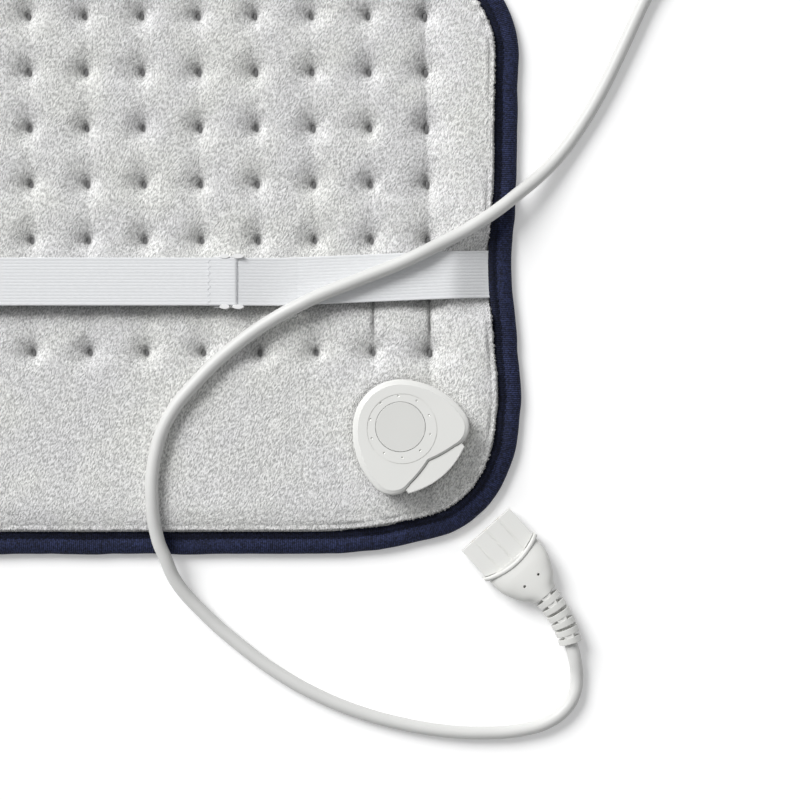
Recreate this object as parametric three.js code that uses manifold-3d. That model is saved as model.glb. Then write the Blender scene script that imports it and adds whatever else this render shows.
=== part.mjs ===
// Heating pad with controller: a quilted pad with strap and socket, its unplugged lead and a hand controller.
// Millimetres, +Z up. The origin is under the middle of the pad, on the surface that it lies on.
import * as THREE from "three";
import { mergeVertices } from "three/addons/utils/BufferGeometryUtils.js";
import Module from "manifold-3d";

const wasm = await Module();
wasm.setup();

// Fit between neighbouring pieces
const GAP = 0.3;

// Pad
const PAD_WIDTH = 400;
const PAD_DEPTH = 330;
const CORNER_RADIUS = 68;
const BOTTOM_COVER = 1.2;
const WADDING = 1.6;
const CARRIER = 0.8;
const WIRE_DIAMETER = 1.6;
const COVER_EDGE = 2.2;
const COVER_CROWN = 3.6;
const COVER_TUFT = 1.2;
const RAMP_WIDTH = 14;
const BINDING_WIDTH = 12.6;
const BINDING_TAPE = 1;
const BINDING_NOSE = 1.4;

// Tufts, counted from the right and lower edges
const TUFT_PITCH_X = 29.8;
const TUFT_PITCH_Y = 29.5;
const TUFT_FROM_RIGHT = 48.8;
const TUFT_FROM_BOTTOM = 106;
const TUFT_FROM_TOP = 46;
const TUFT_REACH = 6.2;

// Strap
const STRAP_WIDTH = 25;
const STRAP = 1.2;
const STRAP_FROM_BOTTOM = 143.4;
const STRAP_BEND_FROM_RIGHT = 126;
const STRAP_RISE = 4;
const SLIDER_FROM_RIGHT = 151.7;
const SLIDER_BAR = 1.4;
const SLIDER_BAR_WIDTH = 4;
const SLIDER_END_BAR_WIDTH = 2.6;
const SLIDER_PITCH = 6.6;
const SLIDER_RAIL = 0.7;
const SLIDER_PLAY = 0.3;
const SLIDER_LOBES = [-2.1, 4.5];
const LOBE_RADIUS = 2.9;
const LOBE_FLATNESS = 0.28;
const SEAM_FROM_SLIDER = 12;
const RING_FROM_LEFT = 46;
const RING_PITCH = 9;
const RING_CORNER = 3;
const RING_PLAY = 1;
const TAB_FOLD = 8;

// Socket, placed by the middle of its disc
const SOCKET_FROM_RIGHT = 61.8;
const SOCKET_FROM_BOTTOM = 67.7;
const SOCKET_TURN = -50;
const SOCKET_SINK = 1.5;
const SOCKET_RADIUS = 24.6;
const SIDE_RADIUS = 42;
const SIDE_ANGLE = 138;
const SHOULDER_REACH = 24;
const SHOULDER_ANGLE = 47;
const CUSP_REACH = 23.6;
const LIP_REACH = 34;
const LIP_BULGE = 4;
const LIP_SIDE = 1.8;
const LIP_UNDER_CAP = 1.2;
const SLOT_PLAY = 3;
const BASE_PLATE = 2;
const HOUSING_HEIGHT = 10.3;
const HOUSING_WALL = 1.3;
const CAP_HEIGHT = 2.7;
const CAP_BEVEL = 1.9;
const DISC_RADIUS = 12.9;
const DISC = 1;
const CLAMP_RADIUS = 20;
const CLAMP = 1.2;
const PIN_RADIUS = 1;
const PIN_LENGTH = 15;
const PIN_PITCH = 8.4;
const CONTACT_DEPTH = 6;
const CONTACT_SIDE = 3;
const SCREW_RADIUS = 1.3;
const SCREW_HEAD_RADIUS = 2.5;
const SCREW_BACK = 10;
const SCREW_SPREAD = 19;
const LEAD_BACK = 1;
const LEAD_SPREAD = 10;

// Connector plug, placed by the middle of its front face
const PLUG_FROM_RIGHT = 16.9;
const PLUG_FROM_BOTTOM = 13.4;
const PLUG_TURN = -48;
const NOSE_WIDTH = 33.6;
const NOSE_LENGTH = 18.2;
const NOSE_HEIGHT = 6.6;
const COLLAR = 2.6;
const COLLAR_OVERHANG = 1.4;
const COLLAR_BULGE = 3.75;
const TONGUE_WIDTH = 22;
const TONGUE_HEIGHT = 4.8;
const TONGUE_REACH = 9.3;
const PLUG_LENGTH = 46.5;
const PLUG_NECK_RADIUS = 7;
const DIMPLE_RADIUS = 0.9;
const DIMPLE_SPREAD = 9.6;
const RELIEF_LENGTH = 29;
const RELIEF_END_RADIUS = 6.1;
const RELIEF_BEND = 27;
const RELIEF_GROOVES = 6;
const RELIEF_GROOVE = 1.9;

// Cords
const CORD_DIAMETER = 7;
const CORD_SIDES = 8;
const CORD_STEPS = 54;
const COIL_INNER_RADIUS = 30;
const COIL_LAYER_STEPS = 62;
const COIL_STEPS_PER_TURN = 24;
const COIL_SIDES = 6;
const COIL_SPACING = 0.5;
const COIL_FROM_BOOT = 134;
const COIL_LEAD_ASIDE = 26;
const TIE = 0.6;
const TIE_WIDTH = 12;

// Controller, placed by its middle
const CONTROLLER_FROM_RIGHT = 58;
const CONTROLLER_BEHIND_TOP = 46;
const CONTROLLER_LENGTH = 116;
const CONTROLLER_WIDTH = 46;
const CONTROLLER_HEIGHT = 22;
const CONTROLLER_SPLIT = 10;
const CONTROLLER_WALL = 2;
const CONTROLLER_CORNER = 22;
const SCREW_FROM_END = 13;
const BOARD_FROM_END = 20;
const BOARD_WIDTH = 30;
const BOARD = 1.6;
const BOARD_LEVEL = 6;
const LAMP_SIDE = 3;
const LAMP_HEIGHT = 1.6;
const LAMP_PITCH = 5;
const RELAY_LENGTH = 22;
const RELAY_WIDTH = 8;
const RELAY_HEIGHT = 7;
const RELAY_ASIDE = 9;
const POWER_BUTTON_RADIUS = 7;
const LEVEL_BUTTON_RADIUS = 6;
const BUTTON_PROUD = 1.5;
const BUTTON_TRAVEL = 1.2;
const BUTTON_STEM = 2.6;
const BUTTON_FLANGE = 1.2;
const BUTTON_EDGE = 0.8;
const TOP_BOSS_RADIUS = 3.4;
const BOTTOM_BOSS_RADIUS = 4.4;
const POST_RADIUS = 2.5;
const POST_INSET = 5;
const SWITCH_SIDE = 6;
const SWITCH_HEIGHT = 3.5;
const PLUNGER_RADIUS = 1.7;
const BOOT_LENGTH = 32;
const BOOT_RADIUS = 6.4;

// Mains plug
const MAINS_BODY_LENGTH = 36;
const MAINS_BODY_WIDTH = 35;
const MAINS_BODY_HEIGHT = 13.6;
const MAINS_PIN_RADIUS = 2;
const MAINS_PIN_LENGTH = 19;
const MAINS_PIN_PITCH = 18.6;
const MAINS_RELIEF_LENGTH = 24;
const MAINS_PLUG_FROM_BOOT = 26;
const MAINS_PLUG_ASIDE = 25;

// Levels through the pad
const RIGHT = PAD_WIDTH / 2;
const TOP = PAD_DEPTH / 2;
const LOWER_WADDING_Z = BOTTOM_COVER + GAP;
const CARRIER_Z = LOWER_WADDING_Z + WADDING + GAP;
const WIRE_Z = CARRIER_Z + CARRIER + GAP + WIRE_DIAMETER / 2;
const UPPER_WADDING_Z = WIRE_Z + WIRE_DIAMETER / 2 + GAP;
const COVER_Z = UPPER_WADDING_Z + WADDING + GAP;
const CROWN = COVER_Z + COVER_CROWN;
const COVER_EDGE_Z = BINDING_TAPE + BOTTOM_COVER + 2 * GAP;
const COVER_EDGE_TOP = COVER_EDGE_Z + COVER_EDGE;
const BINDING_HEIGHT = COVER_EDGE_TOP + GAP + BINDING_TAPE;
const EDGE_INSET = BINDING_NOSE + GAP;
const RAMP_START = BINDING_WIDTH + 1.4;
const FILL_INSET = RAMP_START + RAMP_WIDTH - 1;

// Levels through the strap
const STRAP_Y = STRAP_FROM_BOTTOM - TOP;
const STRAP_BEND_X = RIGHT - STRAP_BEND_FROM_RIGHT;
const STRAP_TUCK_Z = COVER_EDGE_TOP - STRAP;
const BAND_Z = CROWN + SLIDER_BAR + 2 * GAP;
const BAND_TOP = BAND_Z + STRAP;
const EYE_Z = BAND_TOP + GAP;
const BAR_Z = EYE_Z + STRAP + GAP;
const RETURN_Z = BAR_Z + SLIDER_BAR + GAP;
const RING_RADIUS = (RETURN_Z - BAND_TOP) / 2 - GAP;
const RING_Z = (RETURN_Z + BAND_TOP) / 2;
const WRAP_INNER = RING_RADIUS + GAP;
const WRAP_OUTER = WRAP_INNER + STRAP;
const SLIDER_X = RIGHT - SLIDER_FROM_RIGHT;
const TAB_BAR_X = -RIGHT + RING_FROM_LEFT;
const RING_BAR_X = TAB_BAR_X + RING_PITCH;

// Levels and places in the socket, the plug and the cords
const HOUSING_Z = BASE_PLATE + GAP;
const HOUSING_TOP = HOUSING_Z + HOUSING_HEIGHT;
const CAP_Z = HOUSING_TOP + GAP;
const LIP_TOP = CAP_Z + CAP_HEIGHT - LIP_UNDER_CAP;
const SLOT_HEIGHT = HOUSING_HEIGHT - 2 * HOUSING_WALL;
const SLOT_Z = HOUSING_Z + HOUSING_WALL;
const SLOT_WIDTH = NOSE_WIDTH + 0.8;
const SLOT_BACK = LIP_REACH - LIP_BULGE - NOSE_LENGTH - SLOT_PLAY;
const PIN_Z = SLOT_Z + SLOT_HEIGHT / 2;
const SOCKET_Z = CROWN - SOCKET_SINK;
const SCREWS = [-0.5, 0.5].map((side) => [-SCREW_BACK, side * SCREW_SPREAD]);
const LEADS = [0.5, -0.5].map((side) => [-LEAD_BACK, side * LEAD_SPREAD]);
const CORD_RADIUS = CORD_DIAMETER / 2;
const RELIEF_DROP = PLUG_NECK_RADIUS - RELIEF_END_RADIUS;
const CONTROLLER_X = RIGHT - CONTROLLER_FROM_RIGHT;
const CONTROLLER_Y = TOP + CONTROLLER_BEHIND_TOP;
const BOOT_REACH = CONTROLLER_LENGTH / 2 + BOOT_LENGTH;
const MAINS_PLUG_Z = MAINS_BODY_HEIGHT / 2;

// Materials
const PAINTS = {
  plush: { color: 0xc8c8c8, roughness: 1 },
  cloth: { color: 0xd9d6cf, roughness: 1 },
  navy: { color: 0x232738, roughness: 0.8 },
  elastic: { color: 0xe5e6e8, roughness: 0.8 },
  plastic: { color: 0xe4e4e0, roughness: 0.45 },
  cord: { color: 0xeeeeec, roughness: 0.5 },
  grey: { color: 0x9aa0a6, roughness: 0.5 },
  board: { color: 0x2f6b45, roughness: 0.5 },
  brass: { color: 0xc8a24a, roughness: 0.3, metalness: 1 },
  steel: { color: 0xb4b6b8, roughness: 0.35, metalness: 1 },
};

// Geometry from a list of corners, three to a triangle; a triangle with no area is left out.
function fromCorners(corners) {
  const kept = [];
  const triangle = new THREE.Triangle();
  for (let i = 0; i < corners.length; i += 3) {
    triangle.set(corners[i], corners[i + 1], corners[i + 2]);
    if (triangle.getArea() > 1e-6) kept.push(...corners.slice(i, i + 3));
  }
  return new THREE.BufferGeometry().setFromPoints(kept);
}

// Two triangles for each step round a pair of rings.
function strip(low, high) {
  return low.flatMap((point, i) => {
    const next = (i + 1) % low.length;
    return [point, low[next], high[next], point, high[next], high[i]];
  });
}

// A flat end that closes a ring, as a fan about its middle.
function fan(ring) {
  const middle = ring.reduce((sum, p) => sum.add(p), new THREE.Vector3()).divideScalar(ring.length);
  return ring.flatMap((point, i) => [middle, point, ring[(i + 1) % ring.length]]);
}

// A body through a row of rings with flat ends.
function loft(rings) {
  const corners = rings.slice(1).flatMap((ring, i) => strip(rings[i], ring));
  return fromCorners([...fan(rings[0]).reverse(), ...corners, ...fan(rings.at(-1))]);
}

// A closed frame through a round of rings.
function loftRound(rings) {
  return fromCorners(rings.flatMap((ring, i) => strip(ring, rings[(i + 1) % rings.length])));
}

// Points round a rounded rectangle, drawn in by an inset.
function roundedRing({ width, depth, radius, steps, middle = [0, 0] }, inset, z) {
  const x = width / 2 - radius;
  const y = depth / 2 - radius;
  const reach = radius - inset;
  return [[x, y], [-x, y], [-x, -y], [x, -y]].flatMap(([cx, cy], corner) =>
    Array.from({ length: steps + 1 }, (_, s) => {
      const angle = ((corner + s / steps) * Math.PI) / 2;
      const px = middle[0] + cx + reach * Math.cos(angle);
      return new THREE.Vector3(px, middle[1] + cy + reach * Math.sin(angle), z);
    }),
  );
}

// A body or a closed frame of rounded rectangles, from a profile of [inset, z] pairs.
const roundedRings = (outline, profile) => profile.map(([inset, z]) => roundedRing(outline, inset, z));
const roundedBody = (outline, profile) => loft(roundedRings(outline, profile));
const roundedFrame = (outline, profile) => loftRound(roundedRings(outline, profile));

// Solids for joining and cutting
function solid(geometry) {
  const bare = geometry.clone();
  bare.deleteAttribute("normal");
  bare.deleteAttribute("uv");
  const welded = mergeVertices(bare, 1e-3);
  const vertProperties = welded.attributes.position.array;
  const triVerts = new Uint32Array(welded.index.array);
  return new wasm.Manifold(new wasm.Mesh({ numProp: 3, vertProperties, triVerts }));
}

function geometryOf(body) {
  const mesh = body.getMesh();
  const geometry = new THREE.BufferGeometry();
  geometry.setAttribute("position", new THREE.BufferAttribute(mesh.vertProperties, 3));
  return geometry.setIndex(new THREE.BufferAttribute(mesh.triVerts, 1));
}

const join = (...parts) => geometryOf(parts.map(solid).reduce((a, b) => a.add(b)));
const cut = (from, ...tools) => geometryOf(tools.map(solid).reduce((a, b) => a.subtract(b), solid(from)));

// Simple shapes
const block = (x0, x1, y0, y1, z0, z1) =>
  new THREE.BoxGeometry(x1 - x0, y1 - y0, z1 - z0).translate((x0 + x1) / 2, (y0 + y1) / 2, (z0 + z1) / 2);
const post = (x, y, radius, z0, z1, sides = 16) =>
  new THREE.CylinderGeometry(radius, radius, z1 - z0, sides)
    .rotateX(Math.PI / 2)
    .translate(x, y, (z0 + z1) / 2);
const slab = (shape, z0, z1, curveSegments = 5) => {
  const depth = z1 - z0;
  return new THREE.ExtrudeGeometry(shape, { depth, bevelEnabled: false, curveSegments }).translate(0, 0, z0);
};
const polygon = (points) => new THREE.Shape(points.map(([x, y]) => new THREE.Vector2(x, y)));
const turned = (profile, sides = 12) =>
  new THREE.LatheGeometry(profile.map(([r, z]) => new THREE.Vector2(r, z)), sides).rotateX(Math.PI / 2);
const turnedAlongX = (profile, sides = 10) => turned(profile, sides).rotateY(Math.PI / 2);

// A shape drawn in X and Z, run across the strap's width. Past the bend it is skewed, so no shape crosses the bend.
function acrossStrap(shape, width) {
  const made = new THREE.ExtrudeGeometry(shape, { depth: width, bevelEnabled: false, curveSegments: 6 })
    .rotateX(Math.PI / 2)
    .translate(0, STRAP_Y + width / 2, 0);
  const places = made.getAttribute("position");
  for (let i = 0; i < places.count; i += 1) {
    const past = Math.max(0, places.getX(i) - STRAP_BEND_X);
    places.setY(i, places.getY(i) + (STRAP_RISE * past) / STRAP_BEND_FROM_RIGHT);
  }
  return made;
}

// A route through chosen points, taken one by one.
class Route extends THREE.Curve {
  constructor(points) {
    super();
    this.points = points;
  }
  getPoint(t) {
    const place = t * (this.points.length - 1);
    const index = THREE.MathUtils.clamp(Math.floor(place), 0, this.points.length - 2);
    return this.points[index].clone().lerp(this.points[index + 1], place - index);
  }
  getUtoTmapping(u) {
    return u;
  }
}

// A round tube along a path.
function tube(extrudePath, steps, radius, sides) {
  const round = polygon(
    Array.from({ length: sides }, (_, i) => {
      const angle = (2 * Math.PI * (i + 0.5)) / sides;
      return [radius * Math.cos(angle), radius * Math.sin(angle)];
    }),
  );
  return new THREE.ExtrudeGeometry(round, { steps, extrudePath });
}

const tubeThrough = (points, radius, sides) => tube(new Route(points), points.length - 1, radius, sides);

// Groups turned and placed on the pad or the floor
function placedGroup(x, y, z, degrees) {
  const group = new THREE.Group();
  group.position.set(x, y, z);
  group.rotation.z = THREE.MathUtils.degToRad(degrees);
  group.updateMatrixWorld(true);
  return group;
}

const socketGroup = placedGroup(RIGHT - SOCKET_FROM_RIGHT, SOCKET_FROM_BOTTOM - TOP, SOCKET_Z, SOCKET_TURN);
const plugGroup = placedGroup(
  RIGHT - PLUG_FROM_RIGHT,
  PLUG_FROM_BOTTOM - TOP,
  PLUG_NECK_RADIUS,
  PLUG_TURN,
);
const controllerGroup = placedGroup(CONTROLLER_X, CONTROLLER_Y, 0, 0);
const mainsPlugGroup = placedGroup(
  CONTROLLER_X - BOOT_REACH - MAINS_PLUG_FROM_BOOT,
  CONTROLLER_Y + MAINS_PLUG_ASIDE,
  MAINS_PLUG_Z,
  0,
);
const pad = new THREE.Group();
const inWorld = (group, geometry) => geometry.applyMatrix4(group.matrixWorld);

function add(group, name, geometry, paint) {
  const material = new THREE.MeshStandardMaterial({ ...PAINTS[paint], flatShading: true });
  const mesh = new THREE.Mesh(geometry, material);
  mesh.name = name;
  group.add(mesh);
}

// Pad layers
const PAD_OUTLINE = { width: PAD_WIDTH, depth: PAD_DEPTH, radius: CORNER_RADIUS, steps: 7 };
const padSheet = (z, thickness) =>
  roundedBody(PAD_OUTLINE, [[FILL_INSET, z], [FILL_INSET, z + thickness]]);

function bottomCover() {
  const lift = BINDING_TAPE + GAP;
  const flat = RAMP_START + 8;
  return roundedBody(PAD_OUTLINE, [
    [flat, 0],
    [RAMP_START, lift],
    [EDGE_INSET, lift],
    [EDGE_INSET, lift + BOTTOM_COVER],
    [RAMP_START, lift + BOTTOM_COVER],
    [flat, BOTTOM_COVER],
  ]);
}

function edgeBinding() {
  const height = BINDING_HEIGHT;
  return roundedFrame(PAD_OUTLINE, [
    [BINDING_WIDTH, 0],
    [1.2, 0],
    [0, 1.6],
    [0, height - 1.6],
    [1.2, height],
    [BINDING_WIDTH, height],
    [BINDING_WIDTH, height - BINDING_TAPE],
    [BINDING_NOSE, height - BINDING_TAPE],
    [BINDING_NOSE, BINDING_TAPE],
    [BINDING_WIDTH, BINDING_TAPE],
  ]);
}

// Tuft field: a flat grid at crown height with three lines to a tuft, the middle ones low where they cross
const TUFT_COLUMNS = Math.floor((PAD_WIDTH - 2 * TUFT_FROM_RIGHT) / TUFT_PITCH_X) + 1;
const TUFT_ROWS = Math.floor((PAD_DEPTH - TUFT_FROM_BOTTOM - TUFT_FROM_TOP) / TUFT_PITCH_Y) + 1;
const FIELD_WIDTH = (TUFT_COLUMNS - 1) * TUFT_PITCH_X;
const FIELD_DEPTH = (TUFT_ROWS - 1) * TUFT_PITCH_Y;
const FIELD_X = RIGHT - TUFT_FROM_RIGHT - FIELD_WIDTH;
const FIELD_Y = TUFT_FROM_BOTTOM - TOP;
const FIELD_COLUMNS = 3 * TUFT_COLUMNS - 1;
const FIELD_ROWS = 3 * TUFT_ROWS - 1;

function fieldPoint(column, row) {
  const x = FIELD_X + Math.floor(column / 3) * TUFT_PITCH_X + ((column % 3) - 1) * TUFT_REACH;
  const y = FIELD_Y + Math.floor(row / 3) * TUFT_PITCH_Y + ((row % 3) - 1) * TUFT_REACH;
  const tufted = column % 3 === 1 && row % 3 === 1;
  return new THREE.Vector3(x, y, tufted ? COVER_Z + COVER_TUFT : CROWN);
}

function fieldCell(column, row) {
  const near = fieldPoint(column, row);
  const right = fieldPoint(column + 1, row);
  const far = fieldPoint(column + 1, row + 1);
  const left = fieldPoint(column, row + 1);
  if (column % 3 !== row % 3) return [near, right, left, right, far, left];
  return [near, right, far, near, far, left];
}

// The grid's own edge, anticlockwise from its near left corner.
function fieldEdge() {
  const run = (count, at) => Array.from({ length: count }, (_, i) => at(i));
  return [
    ...run(FIELD_COLUMNS, (i) => fieldPoint(i, 0)),
    ...run(FIELD_ROWS, (i) => fieldPoint(FIELD_COLUMNS, i)),
    ...run(FIELD_COLUMNS, (i) => fieldPoint(FIELD_COLUMNS - i, FIELD_ROWS)),
    ...run(FIELD_ROWS, (i) => fieldPoint(0, FIELD_ROWS - i)),
  ];
}

// The flat border between a ring and a smaller one inside it, facing up.
function border(outer, inner) {
  const points = [...outer, ...inner];
  return THREE.ShapeUtils.triangulateShape(outer, [inner]).flatMap((face) => {
    const [a, b, c] = face.map((i) => points[i]);
    const facesUp = (b.x - a.x) * (c.y - a.y) > (b.y - a.y) * (c.x - a.x);
    return facesUp ? [a, b, c] : [a, c, b];
  });
}

function quiltedCover() {
  const rings = [
    [FILL_INSET - GAP, COVER_Z],
    [RAMP_START + 1, COVER_EDGE_Z],
    [EDGE_INSET, COVER_EDGE_Z],
    [EDGE_INSET, COVER_EDGE_TOP],
    [RAMP_START, COVER_EDGE_TOP],
    [RAMP_START + RAMP_WIDTH, CROWN],
  ].map(([inset, z]) => roundedRing(PAD_OUTLINE, inset, z));
  const corners = fan(rings[0]).reverse();
  rings.slice(1).forEach((ring, i) => corners.push(...strip(rings[i], ring)));
  corners.push(...border(rings.at(-1), fieldEdge()));
  for (let row = 0; row < FIELD_ROWS; row++)
    for (let column = 0; column < FIELD_COLUMNS; column++) corners.push(...fieldCell(column, row));
  return fromCorners(corners);
}

function topCover() {
  const reach = STRAP_WIDTH + 2 * GAP;
  const trench = (side) => {
    const floor = strapEnd(side).map(([x, z]) => [x, z - GAP]);
    const sky = CROWN + 20;
    const above = [[floor.at(-1)[0], sky], [side * (RIGHT + 5), sky], [side * (RIGHT + 5), floor[0][1]]];
    return acrossStrap(polygon([...floor, ...above]), reach);
  };
  const recess = slab(socketShape(-GAP), -GAP, SOCKET_SINK + 5);
  const holes = [...SCREWS, ...LEADS].map(([x, y]) => post(x, y, SCREW_RADIUS + GAP, -20, 5, 10));
  const sunk = [recess, ...holes].map((tool) => inWorld(socketGroup, tool));
  return cut(quiltedCover(), trench(1), trench(-1), ...sunk);
}

// Heating layer
const CUTOUTS = [-1.5, 1.5].map((column) => [
  FIELD_X + FIELD_WIDTH / 2 + column * TUFT_PITCH_X,
  FIELD_Y + Math.floor(TUFT_ROWS / 2) * TUFT_PITCH_Y,
]);
const CUTOUT_RADIUS = 1.6;
const CUTOUT_LENGTH = 11;

function upperWadding() {
  const window = inWorld(socketGroup, post(0, 0, CLAMP_RADIUS + 2, -20, 20, 24));
  const pockets = CUTOUTS.map(([x, y]) => {
    const half = CUTOUT_LENGTH / 2 + 1;
    return block(x - half, x + half, y - CUTOUT_RADIUS - 1, y + CUTOUT_RADIUS + 1, 0, CROWN);
  });
  return cut(padSheet(UPPER_WADDING_Z, WADDING), window, ...pockets);
}

const cutout = ([x, y]) => {
  const half = CUTOUT_LENGTH / 2;
  const profile = [[0, -half], [CUTOUT_RADIUS, -half + 0.8], [CUTOUT_RADIUS, half - 0.8], [0, half]];
  return turnedAlongX(profile).translate(x, y, CARRIER_Z + CARRIER + GAP + CUTOUT_RADIUS);
};

// Wire route: up the right side from one lead, back and forth between the tuft rows, then to the other lead
function wireRoute() {
  const leadAt = ([x, y]) => inWorld(socketGroup, new THREE.Vector3(x, y, 0)).setZ(WIRE_Z);
  const [first, second] = LEADS.map(leadAt);
  const point = (x, y) => new THREE.Vector3(x, y, WIRE_Z);
  const turn = TUFT_PITCH_Y / 2;
  const runs = 2 * Math.ceil(TUFT_ROWS / 2);
  const left = FIELD_X + 5;
  const right = FIELD_X + FIELD_WIDTH - 20;
  const side = right + 2 * turn;
  const highest = FIELD_Y + FIELD_DEPTH + turn;
  const points = [first, point(side - 3, first.y + 9), point(side, first.y + 16)];
  for (const angle of [0, 30, 60]) {
    const turnBy = THREE.MathUtils.degToRad(angle);
    points.push(point(side - turn + turn * Math.cos(turnBy), highest - turn + turn * Math.sin(turnBy)));
  }
  for (let run = 0; run < runs; run++) {
    const y = highest - run * TUFT_PITCH_Y;
    const ends = run % 2 ? [left, right] : [right, left];
    points.push(point(ends[0], y), point(ends[1], y));
    if (run === runs - 1) break;
    const outward = Math.sign(ends[1] - ends[0]);
    for (const angle of [45, 90, 135]) {
      const turnBy = THREE.MathUtils.degToRad(angle);
      points.push(point(ends[1] + outward * turn * Math.sin(turnBy), y - turn + turn * Math.cos(turnBy)));
    }
  }
  points.push(second);
  return points;
}

// Strap
function strapEnd(side) {
  return [
    [side * (RIGHT - 3), STRAP_TUCK_Z],
    [side * (RIGHT - RAMP_START), STRAP_TUCK_Z],
    [side * (RIGHT - RAMP_START - RAMP_WIDTH - 6), BAND_Z],
  ];
}

function strapBand() {
  const bend = [[STRAP_BEND_X, BAND_TOP], [STRAP_BEND_X, BAND_Z]];
  const run = polygon([...bend, [RING_BAR_X, BAND_Z]]);
  run.absarc(RING_BAR_X, RING_Z, WRAP_OUTER, -Math.PI / 2, Math.PI / 2, true);
  run.lineTo(RING_BAR_X, RETURN_Z);
  run.absarc(RING_BAR_X, RING_Z, WRAP_INNER, Math.PI / 2, (3 * Math.PI) / 2, false);
  const under = strapEnd(1).reverse();
  const over = strapEnd(1).map(([x, z]) => [x, z + STRAP]);
  const slant = polygon([...over, ...bend, ...under]);
  return join(acrossStrap(run, STRAP_WIDTH), acrossStrap(slant, STRAP_WIDTH));
}

function strapReturn() {
  const start = RING_BAR_X + GAP;
  const seam = SLIDER_X - SEAM_FROM_SLIDER;
  const fold = SLIDER_X + SLIDER_BAR_WIDTH / 2;
  const middle = (EYE_Z + RETURN_Z + STRAP) / 2;
  const inner = SLIDER_BAR / 2 + GAP;
  const shape = polygon([[start, RETURN_Z], [seam, RETURN_Z], [seam + 3, EYE_Z], [fold, EYE_Z]]);
  shape.absarc(fold, middle, inner + STRAP, -Math.PI / 2, Math.PI / 2, false);
  shape.lineTo(start, RETURN_Z + STRAP);
  const eye = polygon([[SLIDER_X - SLIDER_BAR_WIDTH / 2 - GAP, middle - inner], [fold, middle - inner]]);
  eye.absarc(fold, middle, inner, -Math.PI / 2, Math.PI / 2, false);
  eye.lineTo(SLIDER_X - SLIDER_BAR_WIDTH / 2 - GAP, middle + inner);
  shape.holes.push(eye);
  return acrossStrap(shape, STRAP_WIDTH);
}

function strapSlider() {
  const inner = STRAP_WIDTH / 2 + SLIDER_PLAY;
  const outer = inner + SLIDER_RAIL;
  const low = BAND_Z - GAP - SLIDER_BAR;
  const high = BAR_Z + SLIDER_BAR;
  const half = SLIDER_PITCH + SLIDER_END_BAR_WIDTH / 2;
  const barEnd = outer - 0.2;
  const bar = (x, width, z) => block(x - width / 2, x + width / 2, -barEnd, barEnd, z, z + SLIDER_BAR);
  const rails = [-1, 1].flatMap((side) => {
    const edges = [side * inner, side * outer].sort((a, b) => a - b);
    const rail = block(-half, half, edges[0], edges[1], low, high);
    const lobes = SLIDER_LOBES.map((x) =>
      post(0, 0, LOBE_RADIUS, low + 0.8, high - 0.8, 14)
        .scale(1, LOBE_FLATNESS, 1)
        .translate(x, side * outer, 0),
    );
    return [rail, ...lobes.map((lobe) => cut(lobe, block(-20, 20, -inner, inner, 0, 60)))];
  });
  const ends = [-SLIDER_PITCH, SLIDER_PITCH].map((x) => bar(x, SLIDER_END_BAR_WIDTH, low));
  return join(bar(0, SLIDER_BAR_WIDTH, BAR_Z), ...ends, ...rails).translate(SLIDER_X, STRAP_Y, 0);
}

function strapRing() {
  const outline = {
    width: RING_PITCH,
    depth: STRAP_WIDTH + 2 * RING_PLAY + 2 * RING_RADIUS,
    radius: RING_CORNER,
    steps: 4,
    middle: [(TAB_BAR_X + RING_BAR_X) / 2, STRAP_Y],
  };
  const profile = Array.from({ length: 8 }, (_, i) => {
    const angle = (i * Math.PI) / 4;
    return [-RING_RADIUS * Math.cos(angle), RING_Z + RING_RADIUS * Math.sin(angle)];
  });
  return roundedFrame(outline, profile);
}

function ringTab() {
  const lower = strapEnd(-1).reverse();
  const shape = polygon([[TAB_BAR_X, BAND_Z]]);
  shape.absarc(TAB_BAR_X, RING_Z, WRAP_OUTER, -Math.PI / 2, Math.PI / 2, false);
  shape.lineTo(TAB_BAR_X - TAB_FOLD, BAND_TOP);
  lower.forEach(([x, z]) => shape.lineTo(x, z + STRAP));
  lower.reverse().forEach(([x, z]) => shape.lineTo(x, z));
  shape.holes.push(new THREE.Path().absarc(TAB_BAR_X, RING_Z, WRAP_INNER, 0, 2 * Math.PI, true));
  return acrossStrap(shape, STRAP_WIDTH);
}

// Socket: a round back, two full sides and two shoulders beside the slot, each tangent to the next
function socketArcs(shape, inset, spread) {
  const polar = (reach, angle) => new THREE.Vector2(reach, 0).rotateAround(new THREE.Vector2(), angle);
  const sideAngle = THREE.MathUtils.degToRad(SIDE_ANGLE);
  const { x, y } = polar(SHOULDER_REACH, THREE.MathUtils.degToRad(SHOULDER_ANGLE));
  const side = polar(SOCKET_RADIUS - SIDE_RADIUS, sideAngle);
  const tangent = Math.atan2(y - side.y, x - side.x);
  const shoulder = SIDE_RADIUS - Math.hypot(x - side.x, y - side.y);
  shape.absarc(x, y, shoulder - inset, spread, tangent, false);
  shape.absarc(side.x, side.y, SIDE_RADIUS - inset, tangent, sideAngle, false);
  shape.absarc(0, 0, SOCKET_RADIUS - inset, sideAngle, 2 * Math.PI - sideAngle, false);
  shape.absarc(side.x, -side.y, SIDE_RADIUS - inset, -sideAngle, -tangent, false);
  shape.absarc(x, -y, shoulder - inset, -tangent, -spread, false);
  return shape;
}

const socketShape = (inset) => socketArcs(new THREE.Shape(), inset, 0);

function capRing(inset, z) {
  const heart = socketArcs(new THREE.Shape(), inset, -0.3);
  const tip = heart.currentPoint.clone();
  const cusp = CUSP_REACH - inset;
  heart.quadraticCurveTo(cusp + 2, tip.y / 2, cusp, 0);
  heart.quadraticCurveTo(cusp + 2, -tip.y / 2, tip.x, -tip.y);
  const points = heart.getPoints(5).slice(1);
  const apart = points.filter((p, i) => p.distanceTo(points.at(i - 1)) > 1e-6);
  return apart.map((p) => new THREE.Vector3(p.x, p.y, z));
}

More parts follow.
